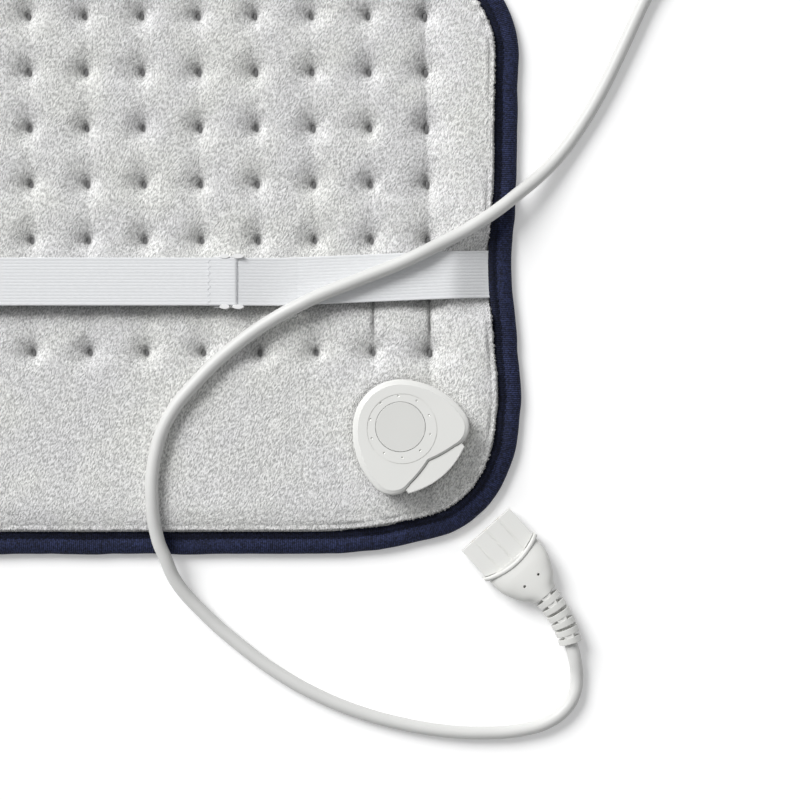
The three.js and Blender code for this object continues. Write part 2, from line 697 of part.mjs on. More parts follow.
function socketCap() {
  const top = CAP_Z + CAP_HEIGHT;
  const profile = [[0, CAP_Z], [0, top - CAP_BEVEL], [0.8, top - 0.5], [2.4, top]];
  const body = loft(profile.map(([inset, z]) => capRing(inset, z)));
  return cut(body, post(0, 0, DISC_RADIUS + GAP, top - DISC - GAP, top + 1, 24));
}

function lipShape() {
  const half = SLOT_WIDTH / 2 + LIP_SIDE;
  const corner = LIP_REACH - LIP_BULGE;
  const shape = polygon([[SLOT_BACK + 5, -half], [corner, -half]]);
  shape.quadraticCurveTo(LIP_REACH + LIP_BULGE, 0, corner, half);
  shape.lineTo(SLOT_BACK + 5, half);
  return shape;
}

function socketHousing() {
  const half = SLOT_WIDTH / 2;
  const capRoom = loft([capRing(-GAP, HOUSING_TOP), capRing(-GAP, LIP_TOP + 1)]);
  const lip = cut(slab(lipShape(), HOUSING_Z, LIP_TOP), capRoom);
  const shell = join(slab(socketShape(0), HOUSING_Z, HOUSING_TOP), lip);
  const slot = block(SLOT_BACK, LIP_REACH + 9, -half, half, SLOT_Z, SLOT_Z + SLOT_HEIGHT);
  const side = half - CONTACT_SIDE;
  const pocket = block(SLOT_BACK - CONTACT_DEPTH, SLOT_BACK + 1, -side, side, SLOT_Z, SLOT_Z + SLOT_HEIGHT);
  const holes = SCREWS.map(([x, y]) => post(x, y, SCREW_RADIUS + GAP, 0, HOUSING_Z + 6, 10));
  const leads = LEADS.map(([x, y]) => post(x, y, WIRE_DIAMETER / 2 + GAP, 0, HOUSING_Z + 5, 10));
  return cut(shell, slot, pocket, ...holes, ...leads);
}

function contactBlock() {
  const half = SLOT_WIDTH / 2 - CONTACT_SIDE - GAP;
  const back = SLOT_BACK - CONTACT_DEPTH + GAP;
  const body = block(back, SLOT_BACK - GAP, -half, half, SLOT_Z + GAP, SLOT_Z + SLOT_HEIGHT - GAP);
  const bores = pinPlaces().map((y) => alongX(PIN_RADIUS + GAP, back + 1.5, SLOT_BACK + 1, y, PIN_Z));
  return cut(body, ...bores);
}

const pinPlaces = () => [-PIN_PITCH, 0, PIN_PITCH];
const alongX = (radius, x0, x1, y, z) =>
  turnedAlongX([[0, 0], [radius, 0], [radius, x1 - x0], [0, x1 - x0]], 10).translate(x0, y, z);

function contactPin(y) {
  const length = PIN_LENGTH;
  const profile = [[0, 0], [PIN_RADIUS, 0], [PIN_RADIUS, length - 1], [PIN_RADIUS / 2, length], [0, length]];
  return turnedAlongX(profile, 10).translate(SLOT_BACK - CONTACT_DEPTH + 2, y, PIN_Z);
}

// Levels under the plate, measured from the socket's own base
const CLAMP_TOP = COVER_Z - GAP - SOCKET_Z;
const CLAMP_Z = CLAMP_TOP - CLAMP;

// A screw from below: its head between two levels, its shank up to a third.
function screw(bottom, under, tip) {
  const head = [[0, bottom], [SCREW_HEAD_RADIUS, bottom], [SCREW_HEAD_RADIUS, under]];
  return turned([...head, [SCREW_RADIUS, under], [SCREW_RADIUS, tip], [0, tip]], 8);
}

const plateHoles = (radius, places, z0, z1) => places.map(([x, y]) => post(x, y, radius + GAP, z0, z1, 10));

function socketScrew([x, y]) {
  const under = CLAMP_Z - GAP;
  return screw(under - 0.9, under, HOUSING_Z + 5).translate(x, y, 0);
}

const leadWire = ([x, y]) =>
  post(x, y, WIRE_DIAMETER / 2, WIRE_Z + WIRE_DIAMETER / 2 + GAP - SOCKET_Z, HOUSING_Z + 4, 8);

function buildSocket() {
  const holes = (z0, z1) => [
    ...plateHoles(SCREW_RADIUS, SCREWS, z0, z1),
    ...plateHoles(WIRE_DIAMETER / 2, LEADS, z0, z1),
  ];
  const base = cut(slab(socketShape(0.8), 0, BASE_PLATE), ...holes(-1, BASE_PLATE + 1));
  const clamp = cut(post(0, 0, CLAMP_RADIUS, CLAMP_Z, CLAMP_TOP, 24), ...holes(CLAMP_Z - 1, CLAMP_TOP + 1));
  const top = CAP_Z + CAP_HEIGHT;
  add(socketGroup, "socket_base", base, "plastic");
  add(socketGroup, "socket_clamp", clamp, "plastic");
  add(socketGroup, "socket_housing", socketHousing(), "plastic");
  add(socketGroup, "socket_cap", socketCap(), "plastic");
  add(socketGroup, "socket_disc", post(0, 0, DISC_RADIUS, top - DISC, top, 24), "plastic");
  add(socketGroup, "contact_block", contactBlock(), "grey");
  pinPlaces().forEach((y, i) => add(socketGroup, `contact_pin_${i + 1}`, contactPin(y), "brass"));
  LEADS.forEach((place, i) => add(socketGroup, `lead_wire_${i + 1}`, leadWire(place), "cord"));
  SCREWS.forEach((place, i) => add(socketGroup, `socket_screw_${i + 1}`, socketScrew(place), "steel"));
}

// Connector plug: the nose's end and the collar share one bowed line, whatever their width
function arcBand(x0, x1, half) {
  const bow = COLLAR_BULGE * (2 * half / NOSE_WIDTH) ** 2;
  const edge = x1 + COLLAR_BULGE - bow;
  const shape = polygon([[x0, -half], [edge, -half]]);
  shape.quadraticCurveTo(edge + 2 * bow, 0, edge, half);
  shape.lineTo(x0, half);
  return shape;
}

const TONGUE_END = NOSE_LENGTH + TONGUE_REACH;

function plugTongue(from, grow) {
  const width = TONGUE_WIDTH / 2 + grow;
  const height = TONGUE_HEIGHT / 2 + grow;
  return block(from, TONGUE_END + grow, -width, width, -height, height);
}

function plugNose() {
  const half = NOSE_HEIGHT / 2;
  const front = slab(arcBand(0, NOSE_LENGTH, NOSE_WIDTH / 2), -half, half, 8);
  const grooves = pinPlaces().map((y) => block(1.6, NOSE_LENGTH + 9, y - 0.4, y + 0.4, half - 0.5, half + 1));
  const bores = pinPlaces().map((y) => alongX(PIN_RADIUS + 0.6 + 2 * GAP, -1, NOSE_LENGTH - 1, y, 0));
  return cut(join(front, plugTongue(NOSE_LENGTH / 2, 0)), ...grooves, ...bores);
}

function contactSleeve(y) {
  const inner = PIN_RADIUS + 0.1;
  const outer = PIN_RADIUS + 0.6 + GAP;
  const length = NOSE_LENGTH - 3;
  const wall = [[inner, 0], [outer, 0], [outer, length], [inner, length], [inner, 0]];
  return turnedAlongX(wall, 10).translate(1, y, 0);
}

function plugRing([x, halfWidth, halfHeight, squareness]) {
  return Array.from({ length: 20 }, (_, i) => {
    const angle = (i * Math.PI) / 10;
    const bent = (v) => Math.sign(v) * Math.abs(v) ** (2 / squareness);
    return new THREE.Vector3(x, halfWidth * bent(Math.cos(angle)), halfHeight * bent(Math.sin(angle)));
  });
}

function plugBody() {
  const start = NOSE_LENGTH + GAP;
  const nose = NOSE_WIDTH / 2;
  const half = nose + COLLAR_OVERHANG;
  const neck = PLUG_NECK_RADIUS;
  const length = PLUG_LENGTH - start;
  const shell = loft(
    [
      [0.05, nose * 0.98, neck * 0.66, 4],
      [0.25, nose * 0.99, neck * 0.78, 3.7],
      [0.43, nose * 0.96, neck * 0.88, 3.3],
      [0.62, nose * 0.835, neck * 0.95, 2.8],
      [0.79, nose * 0.68, neck * 0.99, 2.5],
      [0.92, nose * 0.5, neck, 2.2],
      [1, nose * 0.44, neck, 2],
    ].map(([t, width, height, squareness]) => plugRing([start + t * length, width, height, squareness])),
  );
  const outer = slab(arcBand(start - 2, start + COLLAR, half), -neck * 0.83, neck * 0.83, 8);
  const mouth = slab(arcBand(start - 20, start, half + 9), -neck * 2, neck * 2, 8);
  const dimples = [-0.5, 0.5].map((side) =>
    post(start + length * 0.61, side * DIMPLE_SPREAD, DIMPLE_RADIUS, neck * 0.7, neck * 2, 10),
  );
  return cut(join(shell, outer), mouth, plugTongue(0, GAP), ...dimples);
}

// Where the plug's strain relief runs: it bends aside and sinks towards the floor
function reliefPlace(s) {
  const bend = THREE.MathUtils.degToRad(RELIEF_BEND);
  const radius = RELIEF_LENGTH / bend;
  const angle = -bend * (s / RELIEF_LENGTH);
  const x = PLUG_LENGTH + GAP + radius * Math.sin(-angle);
  const z = -RELIEF_DROP * (s / RELIEF_LENGTH) ** 2;
  return { at: new THREE.Vector3(x, -radius * (1 - Math.cos(angle)), z), angle };
}

function reliefRing(s, radius) {
  const { at, angle } = reliefPlace(s);
  return Array.from({ length: 10 }, (_, i) => {
    const turn = (i * Math.PI) / 5;
    const point = new THREE.Vector3(0, radius * Math.cos(turn), radius * Math.sin(turn));
    return point.applyAxisAngle(new THREE.Vector3(0, 0, 1), angle).add(at);
  });
}

// A sleeve of rings on a core, joined by a web in the middle or, at every other groove, by a web across.
function plugRelief() {
  const pitch = RELIEF_LENGTH / RELIEF_GROOVES;
  const radius = (s) => PLUG_NECK_RADIUS + (RELIEF_END_RADIUS - PLUG_NECK_RADIUS) * (s / RELIEF_LENGTH);
  const core = CORD_RADIUS + GAP;
  const grooves = Array.from({ length: RELIEF_GROOVES }, (_, i) => pitch * i);
  const rings = grooves.flatMap((s) => [
    reliefRing(s, core),
    reliefRing(s + RELIEF_GROOVE, core),
    reliefRing(s + RELIEF_GROOVE, radius(s + RELIEF_GROOVE)),
    reliefRing(s + pitch, radius(s + pitch)),
  ]);
  const webs = grooves.map((s, i) => {
    const bite = i ? GAP : 0;
    const { at, angle } = reliefPlace(s + (RELIEF_GROOVE + GAP - bite) / 2);
    const long = 2 * (radius(s + RELIEF_GROOVE) - GAP);
    const short = radius(s) * 0.8;
    const [width, height] = i > 1 && i % 2 === 0 ? [long, short] : [short, long];
    const web = new THREE.BoxGeometry(RELIEF_GROOVE + GAP + bite, width, height);
    return web.rotateZ(angle).translate(at.x, at.y, at.z);
  });
  return join(loft(rings), ...webs);
}

function buildPlug() {
  add(plugGroup, "plug_nose", plugNose(), "plastic");
  add(plugGroup, "plug_body", plugBody(), "plastic");
  pinPlaces().forEach((y, i) => add(plugGroup, `plug_sleeve_${i + 1}`, contactSleeve(y), "brass"));
  add(plugGroup, "plug_relief", plugRelief(), "plastic");
}

// Connector cord: points in mm from the pad's lower right corner, with the height that the cord rests at
const ON_FLOOR = CORD_RADIUS + GAP / 2;
const ON_BINDING = BINDING_HEIGHT + GAP + CORD_RADIUS;
const ON_PLUSH = CROWN + GAP + CORD_RADIUS;
const ON_STRAP = BAND_TOP + GAP + CORD_RADIUS;
const between = (low, high, part = 0.5) => low + (high - low) * part;
const CORD_ROUTE = [
  [31.5, -65.4, ON_FLOOR],
  [29.9, -74.8, ON_FLOOR],
  [25.2, -82.2, ON_FLOOR],
  [16.8, -88.5, ON_FLOOR],
  [3.7, -92.7, ON_FLOOR],
  [-19.9, -94.5, ON_FLOOR],
  [-40.9, -93.2, ON_FLOOR],
  [-61.9, -89.5, ON_FLOOR],
  [-83, -83.7, ON_FLOOR],
  [-104, -75.3, ON_FLOOR],
  [-125, -63.8, ON_FLOOR],
  [-146, -48.6, ON_FLOOR],
  [-167, -29.7, between(ON_FLOOR, ON_BINDING, 0.2)],
  [-180.1, -13.9, between(ON_FLOOR, ON_BINDING, 0.65)],
  [-185.8, -0.3, ON_BINDING + 0.8],
  [-189, 8.1, ON_BINDING + 2.4],
  [-191.8, 29.1, ON_PLUSH],
  [-190.6, 50.1, ON_PLUSH],
  [-183.8, 71.1, ON_PLUSH],
  [-167.5, 92.1, ON_PLUSH],
  [-146, 111.8, ON_PLUSH],
  [-125, 125.7, between(ON_PLUSH, ON_STRAP, 0.65)],
  [-114, 131.4, ON_STRAP],
  [-104, 136.2, ON_STRAP],
  [-83, 144.6, ON_STRAP],
  [-61.9, 153, ON_STRAP],
  [-52, 157.6, ON_STRAP],
  [-40.9, 163.3, between(ON_PLUSH, ON_STRAP)],
  [-30, 169, ON_PLUSH],
  [-19.9, 175.1, ON_PLUSH - 0.6],
  [-9.4, 182.4, between(ON_BINDING, ON_PLUSH)],
  [-1.6, 188.7, ON_BINDING + 0.8],
  [11.6, 199.8, between(ON_FLOOR, ON_BINDING, 0.55)],
  [22.1, 210.8, between(ON_FLOOR, ON_BINDING, 0.15)],
  [32.6, 225, ON_FLOOR],
  [43.1, 242.3, ON_FLOOR],
  [53.6, 263.3, ON_FLOOR],
  [66.7, 291.6, ON_FLOOR],
];

// The same cord's turn into the controller, in mm from the end of the boot there
const CORD_SWING = [
  [48, -57, ON_FLOOR],
  [50, -26, ON_FLOOR],
  [35, -7, between(ON_FLOOR, CONTROLLER_SPLIT, 0.4)],
];

// The end of a boot: a point a little past it, and one a diameter further out
function bootEnd(side) {
  const x = CONTROLLER_X + side * BOOT_REACH;
  const reach = [GAP, GAP + CORD_DIAMETER];
  return reach.map((out) => new THREE.Vector3(x + side * out, CONTROLLER_Y, CONTROLLER_SPLIT));
}

function connectorCord() {
  const { at, angle } = reliefPlace(RELIEF_LENGTH);
  const away = new THREE.Vector3(Math.cos(angle), Math.sin(angle), 0);
  const beyond = (out) => inWorld(plugGroup, at.clone().addScaledVector(away, out));
  const start = [GAP, GAP + CORD_DIAMETER].map(beyond);
  start[1].z = between(ON_FLOOR, start[0].z, 0.85);
  const laid = CORD_ROUTE.map(([x, y, z]) => new THREE.Vector3(RIGHT + x, y - TOP, z));
  const [end, beforeEnd] = bootEnd(1);
  const swing = CORD_SWING.map(([x, y, z]) => new THREE.Vector3(end.x + x, end.y + y, z));
  const route = new THREE.CatmullRomCurve3([...start, ...laid, ...swing, beforeEnd, end]);
  return tube(route, CORD_STEPS, CORD_RADIUS, CORD_SIDES);
}

// Mains coil: in along the lower layer, up a layer while it turns back, out along the upper layer
const COIL_STEP = CORD_DIAMETER + COIL_SPACING;
const COIL_Z = TIE + GAP + CORD_RADIUS;
const COIL_OUTER_RADIUS = COIL_INNER_RADIUS + (COIL_STEP * COIL_LAYER_STEPS) / COIL_STEPS_PER_TURN;
const COIL_MIDDLE = new THREE.Vector3(
  CONTROLLER_X - BOOT_REACH - COIL_FROM_BOOT,
  CONTROLLER_Y + COIL_OUTER_RADIUS - COIL_LEAD_ASIDE,
  COIL_Z,
);

function coilPoint(step) {
  const climb = COIL_STEPS_PER_TURN / 2;
  const last = 2 * COIL_LAYER_STEPS + climb;
  const inner = COIL_LAYER_STEPS + climb / 2;
  const away = Math.abs(step - inner) - climb / 2;
  const radius = COIL_INNER_RADIUS + (COIL_STEP * away) / COIL_STEPS_PER_TURN;
  const lift = THREE.MathUtils.clamp((step - COIL_LAYER_STEPS) / climb, 0, 1);
  const angle = -Math.PI / 2 - (2 * Math.PI * Math.min(step, last)) / COIL_STEPS_PER_TURN;
  const point = new THREE.Vector3(radius * Math.cos(angle), radius * Math.sin(angle), COIL_STEP * lift);
  return point.add(COIL_MIDDLE);
}

function coilPoints() {
  const last = 2 * COIL_LAYER_STEPS + COIL_STEPS_PER_TURN / 2;
  const points = Array.from({ length: last + 1 }, (_, step) => coilPoint(step));
  const before = points[0].clone().add(points[0].clone().sub(points[1]).setLength(CORD_DIAMETER));
  const after = points[last].clone().add(points[last].clone().sub(points[last - 1]).setLength(CORD_DIAMETER));
  return [before, ...points, after];
}

// The least gap between turns, measured on the points of the coil.
function leastCoilGap(points) {
  let least = Infinity;
  points.forEach((a, i) =>
    points.slice(i + 8).forEach((b) => {
      least = Math.min(least, a.distanceTo(b) - CORD_DIAMETER);
    }),
  );
  return least;
}

const COIL = coilPoints();
console.log(`least gap between coil turns ${leastCoilGap(COIL).toFixed(2)} mm`);

// The piece of cord that joins two ends, each given as a point and a point further along.
function joiningCord([from, fromNext], [to, toNext], steps, lying = []) {
  const laid = lying.map((part) => fromNext.clone().lerp(toNext, part).setZ(ON_FLOOR));
  const route = new THREE.CatmullRomCurve3([from, fromNext, ...laid, toNext, to]);
  return tube(route, steps, CORD_RADIUS, CORD_SIDES);
}

function cordEnd(tip, inner) {
  const away = tip.clone().sub(inner).normalize();
  return [GAP, GAP + CORD_DIAMETER].map((out) => tip.clone().addScaledVector(away, out));
}

function coilTie() {
  const reach = COIL_OUTER_RADIUS - COIL_INNER_RADIUS + CORD_DIAMETER + 5;
  const height = COIL_STEP + CORD_DIAMETER;
  const outline = {
    width: reach,
    depth: height + 2 * (GAP + TIE),
    radius: 4,
    steps: 4,
  };
  const profile = [[0, -TIE_WIDTH / 2], [0, TIE_WIDTH / 2], [TIE, TIE_WIDTH / 2], [TIE, -TIE_WIDTH / 2]];
  const middle = (COIL_OUTER_RADIUS + COIL_INNER_RADIUS - 2) / 2;
  return roundedFrame(outline, profile)
    .rotateX(Math.PI / 2)
    .translate(COIL_MIDDLE.x - middle, COIL_MIDDLE.y, TIE + GAP + height / 2);
}

function buildCords() {
  const relief = inWorld(mainsPlugGroup, new THREE.Vector3(-MAINS_RELIEF_LENGTH - GAP, 0, 0));
  const plugEnd = [relief, relief.clone().setX(relief.x - CORD_DIAMETER)];
  add(pad, "connector_cord", connectorCord(), "cord");
  add(pad, "mains_lead", joiningCord(bootEnd(-1), cordEnd(COIL[0], COIL[1]), 9, [0.4, 0.7]), "cord");
  add(pad, "mains_coil", tubeThrough(COIL, CORD_RADIUS, COIL_SIDES), "cord");
  add(pad, "mains_tail", joiningCord(cordEnd(COIL.at(-1), COIL.at(-2)), plugEnd, 6), "cord");
  add(pad, "coil_tie", coilTie(), "grey");
}

// Controller
const CONTROLLER_OUTLINE = {
  width: CONTROLLER_LENGTH,
  depth: CONTROLLER_WIDTH,
  radius: CONTROLLER_CORNER,
  steps: 5,
};
const ROOF = CONTROLLER_HEIGHT - CONTROLLER_WALL;
const BUTTONS = [
  { name: "power", x: CONTROLLER_LENGTH * 0.24, radius: POWER_BUTTON_RADIUS },
  { name: "plus", x: -CONTROLLER_LENGTH * 0.155, radius: LEVEL_BUTTON_RADIUS },
  { name: "minus", x: -CONTROLLER_LENGTH * 0.293, radius: LEVEL_BUTTON_RADIUS },
];
const WINDOW = { x: CONTROLLER_LENGTH * 0.043, length: CONTROLLER_LENGTH * 0.19, width: 5 };
const BOARD_LENGTH = CONTROLLER_LENGTH - 2 * BOARD_FROM_END;
const CONTROLLER_SCREWS = [-1, 1].map((side) => side * (CONTROLLER_LENGTH / 2 - SCREW_FROM_END));
const SWITCH_TOP = BOARD_LEVEL + BOARD + GAP + SWITCH_HEIGHT;
const PLUNGER_Z = SWITCH_TOP - 1.6;
const PLUNGER_TOP = SWITCH_TOP + 1.9;
const BOOT_NECK = 4.3;

function windowSlot(grow, z0, z1) {
  const outline = {
    width: WINDOW.length + 2 * grow,
    depth: WINDOW.width + 2 * grow,
    radius: WINDOW.width / 2 - 0.2 + grow,
    steps: 4,
    middle: [WINDOW.x, 0],
  };
  return roundedBody(outline, [[0, z0], [0, z1]]);
}

const bootHoles = () =>
  [-1, 1].map((side) => {
    const x = side * (CONTROLLER_LENGTH / 2 - 3);
    return alongX(BOOT_NECK + GAP, x - 6, x + 6, 0, CONTROLLER_SPLIT);
  });

function controllerTop() {
  const wall = CONTROLLER_WALL;
  const shell = roundedBody(CONTROLLER_OUTLINE, [
    [7, ROOF],
    [wall, ROOF - 3.5],
    [wall, CONTROLLER_SPLIT + GAP / 2],
    [0, CONTROLLER_SPLIT + GAP / 2],
    [0, CONTROLLER_HEIGHT - 6.5],
    [2.2, CONTROLLER_HEIGHT - 2.4],
    [6, CONTROLLER_HEIGHT - 0.4],
    [9, CONTROLLER_HEIGHT],
  ]);
  const seam = CONTROLLER_SPLIT + GAP / 2;
  const bosses = CONTROLLER_SCREWS.map((x) => post(x, 0, TOP_BOSS_RADIUS, seam, ROOF + 0.5, 12));
  const pilots = CONTROLLER_SCREWS.map((x) => post(x, 0, SCREW_RADIUS + GAP, 0, ROOF - 1, 10));
  const holes = BUTTONS.map(({ x, radius }) => post(x, 0, radius + GAP, ROOF - 1, CONTROLLER_HEIGHT + 1, 18));
  const slot = windowSlot(GAP, ROOF - 1, CONTROLLER_HEIGHT + 1);
  return cut(join(shell, ...bosses), ...pilots, ...holes, slot, ...bootHoles());
}

function controllerBottom() {
  const wall = CONTROLLER_WALL;
  const rim = CONTROLLER_SPLIT - GAP / 2;
  const shell = roundedBody(CONTROLLER_OUTLINE, [
    [4, 0],
    [1, 1.2],
    [0, 4],
    [0, rim],
    [wall, rim],
    [wall, wall + 2],
    [4.5, wall],
  ]);
  const bosses = CONTROLLER_SCREWS.map((x) => post(x, 0, BOTTOM_BOSS_RADIUS, wall - 0.5, rim, 12));
  const holes = CONTROLLER_SCREWS.map((x) => post(x, 0, SCREW_RADIUS + GAP, -1, rim + 1, 10));
  const sinks = CONTROLLER_SCREWS.map((x) => post(x, 0, SCREW_HEAD_RADIUS + GAP, -1, 2.4, 12));
  const postX = BOARD_LENGTH / 2 - POST_INSET;
  const postY = BOARD_WIDTH / 2 - POST_INSET;
  const places = [[postX, postY], [-postX, postY], [-postX, -postY], [postX, -postY]];
  const posts = places.map(([x, y]) => post(x, y, POST_RADIUS, wall - 0.5, BOARD_LEVEL - GAP, 10));
  return cut(join(shell, ...bosses, ...posts), ...holes, ...sinks, ...bootHoles());
}

function controllerBoard() {
  const half = BOARD_LENGTH / 2;
  const top = BOARD_LEVEL + BOARD;
  const board = block(-half, half, -BOARD_WIDTH / 2, BOARD_WIDTH / 2, BOARD_LEVEL, top);
  const foot = top - BOARD / 2;
  const part = (x, y, length, width, height) =>
    block(x - length / 2, x + length / 2, y - width / 2, y + width / 2, foot, top + height);
  const lamps = [-1.5, -0.5, 0.5, 1.5].map((place) =>
    part(WINDOW.x + place * LAMP_PITCH, 0, LAMP_SIDE, LAMP_SIDE, LAMP_HEIGHT),
  );
  return join(board, part(0, RELAY_ASIDE, RELAY_LENGTH, RELAY_WIDTH, RELAY_HEIGHT), ...lamps);
}

function button({ x, radius }) {
  const flange = ROOF - GAP;
  const top = CONTROLLER_HEIGHT + BUTTON_PROUD;
  const profile = [
    [0, PLUNGER_TOP + GAP],
    [BUTTON_STEM, PLUNGER_TOP + GAP],
    [BUTTON_STEM, flange - BUTTON_FLANGE],
    [radius + BUTTON_FLANGE, flange - BUTTON_FLANGE],
    [radius + BUTTON_FLANGE, flange],
    [radius, flange],
    [radius, top - BUTTON_EDGE],
    [radius - BUTTON_EDGE, top],
    [0, top - BUTTON_EDGE / 2],
  ];
  return turned(profile, 18).translate(x, 0, 0);
}

function switchBody(x) {
  const half = SWITCH_SIDE / 2;
  const pressed = PLUNGER_Z - BUTTON_TRAVEL;
  const well = post(x, 0, PLUNGER_RADIUS + GAP, pressed - GAP, SWITCH_TOP + 1, 12);
  return cut(block(x - half, x + half, -half, half, SWITCH_TOP - SWITCH_HEIGHT, SWITCH_TOP), well);
}

function levelWindow() {
  const under = ROOF - GAP;
  return join(windowSlot(0, under - 0.5, CONTROLLER_HEIGHT), windowSlot(1.2, under - 1.2, under));
}

const controllerScrew = (x) => screw(0.3, 2.1, ROOF - 2).translate(x, 0, 0);
const plunger = (x) => post(x, 0, PLUNGER_RADIUS, PLUNGER_Z, PLUNGER_TOP, 12);

// A tapered, ringed boot with a neck and a flange that the shells hold.
function boot(length, radius, neck, flange) {
  const taper = (t) => radius + (CORD_RADIUS + 1 - radius) * t;
  const rings = [0.25, 0.5, 0.75].flatMap((t) => [
    [taper(t), length * t],
    [taper(t) - 0.7, length * t],
    [taper(t) - 0.7, length * (t + 0.08)],
    [taper(t), length * (t + 0.08)],
  ]);
  const held = flange ? [[0, -4.8], [flange, -4.8], [flange, -3.2], [neck, -3.2], [neck, 0.6]] : [[0, 0.6]];
  return turnedAlongX([...held, [radius, 0.6], ...rings, [taper(1), length], [0, length]]);
}

function buildController() {
  const reach = CONTROLLER_LENGTH / 2;
  const held = () => boot(BOOT_LENGTH, BOOT_RADIUS, BOOT_NECK, BOOT_NECK + 1.6);
  add(controllerGroup, "controller_top", controllerTop(), "plastic");
  add(controllerGroup, "controller_bottom", controllerBottom(), "plastic");
  add(controllerGroup, "controller_board", controllerBoard(), "board");
  for (const one of BUTTONS) {
    add(controllerGroup, `${one.name}_button`, button(one), "grey");
    add(controllerGroup, `${one.name}_plunger`, plunger(one.x), "steel");
    add(controllerGroup, `${one.name}_switch`, switchBody(one.x), "grey");
  }
  add(controllerGroup, "level_window", levelWindow(), "grey");
  CONTROLLER_SCREWS.forEach((x, i) => {
    add(controllerGroup, `controller_screw_${i + 1}`, controllerScrew(x), "steel");
  });
  const right = held().translate(reach, 0, CONTROLLER_SPLIT);
  const left = held().rotateZ(Math.PI).translate(-reach, 0, CONTROLLER_SPLIT);
  add(controllerGroup, "connector_boot", right, "plastic");
  add(controllerGroup, "mains_boot", left, "plastic");
}

// Mains plug: flat body with two round pins, the cord behind it
function mainsBody() {
  const half = MAINS_BODY_WIDTH / 2;
  const outline = polygon([
    [0, -7],
    [MAINS_BODY_LENGTH * 0.35, -half],
    [MAINS_BODY_LENGTH * 0.8, -half],
    [MAINS_BODY_LENGTH, -half * 0.78],
    [MAINS_BODY_LENGTH, half * 0.78],
    [MAINS_BODY_LENGTH * 0.8, half],
    [MAINS_BODY_LENGTH * 0.35, half],
    [0, 7],
  ]);
  const round = 2;
  const depth = MAINS_BODY_HEIGHT - 2 * round;
  const bevel = { bevelSize: round, bevelThickness: round, bevelOffset: -round, bevelSegments: 2 };
  const body = new THREE.ExtrudeGeometry(outline, { depth, ...bevel }).translate(0, 0, -depth / 2);
  const bores = mainsPins().map((y) =>
    alongX(MAINS_PIN_RADIUS + GAP, MAINS_BODY_LENGTH - 8, MAINS_BODY_LENGTH + 1, y, 0),
  );
  return cut(body, ...bores);
}

const mainsPins = () => [-MAINS_PIN_PITCH / 2, MAINS_PIN_PITCH / 2];

function mainsPin(y) {
  const length = MAINS_PIN_LENGTH + 7;
  const radius = MAINS_PIN_RADIUS;
  const profile = [[0, 0], [radius, 0], [radius, length - 1.5], [radius * 0.6, length - 0.3], [0, length]];
  return turnedAlongX(profile, 12).translate(MAINS_BODY_LENGTH - 7.5, y, 0);
}

function buildMainsPlug() {
  const relief = boot(MAINS_RELIEF_LENGTH, BOOT_RADIUS - 0.4, 0, 0).rotateZ(Math.PI);
  add(mainsPlugGroup, "mains_plug_body", mainsBody(), "plastic");
  mainsPins().forEach((y, i) => add(mainsPlugGroup, `mains_pin_${i + 1}`, mainsPin(y), "steel"));
  add(mainsPlugGroup, "mains_plug_relief", relief, "plastic");
}

function buildPad() {
  add(pad, "bottom_cover", bottomCover(), "cloth");
  add(pad, "lower_wadding", padSheet(LOWER_WADDING_Z, WADDING), "cloth");
  add(pad, "wire_carrier", padSheet(CARRIER_Z, CARRIER), "cloth");
  add(pad, "heating_wire", tubeThrough(wireRoute(), WIRE_DIAMETER / 2, 6), "cord");
  add(pad, "upper_wadding", upperWadding(), "cloth");
  CUTOUTS.forEach((place, i) => add(pad, `thermal_cutout_${i + 1}`, cutout(place), "steel"));
  add(pad, "top_cover", topCover(), "plush");
  add(pad, "edge_binding", edgeBinding(), "navy");
}

function buildStrap() {
  add(pad, "strap_band", strapBand(), "elastic");
  add(pad, "strap_return", strapReturn(), "elastic");
  add(pad, "strap_slider", strapSlider(), "plastic");
  add(pad, "strap_ring", strapRing(), "plastic");
  add(pad, "ring_tab", ringTab(), "elastic");
}

buildPad();
buildStrap();
buildSocket();
buildPlug();
buildCords();
buildController();
buildMainsPlug();

const part = new THREE.Group();
part.add(pad, socketGroup, plugGroup, controllerGroup, mainsPlugGroup);

export default part;
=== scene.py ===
"""Looks of the heating pad with controller: plush, binding, elastic, plastic and cords."""

from math import atan2, ceil, cos, floor, hypot, pi, radians, sin, sqrt

import bpy
import numpy as np
from mathutils import Matrix, Vector


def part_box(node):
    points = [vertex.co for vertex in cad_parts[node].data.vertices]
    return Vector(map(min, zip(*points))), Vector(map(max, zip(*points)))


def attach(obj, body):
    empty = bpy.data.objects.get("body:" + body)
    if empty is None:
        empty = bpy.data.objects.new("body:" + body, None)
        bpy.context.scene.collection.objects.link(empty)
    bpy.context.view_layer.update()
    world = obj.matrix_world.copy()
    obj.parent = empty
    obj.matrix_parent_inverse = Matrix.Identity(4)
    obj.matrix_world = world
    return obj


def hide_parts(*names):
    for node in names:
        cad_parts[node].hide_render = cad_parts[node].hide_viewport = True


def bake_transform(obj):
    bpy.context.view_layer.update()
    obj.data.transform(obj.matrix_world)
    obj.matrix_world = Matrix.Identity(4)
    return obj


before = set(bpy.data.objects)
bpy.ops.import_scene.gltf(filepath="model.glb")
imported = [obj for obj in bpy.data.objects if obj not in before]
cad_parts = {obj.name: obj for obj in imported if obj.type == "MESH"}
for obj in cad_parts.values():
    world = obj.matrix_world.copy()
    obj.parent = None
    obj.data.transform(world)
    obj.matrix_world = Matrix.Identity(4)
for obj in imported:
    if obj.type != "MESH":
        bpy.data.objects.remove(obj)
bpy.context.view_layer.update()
SCENE = bpy.context.scene

# Units: shapes are written in millimetres in the part's own frame and turned into metres when a mesh is made
MM = 0.001
GAP = 0.3
PAD_BODY = "pad"


def box_mm(node):
    return np.array(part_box(node)) / MM


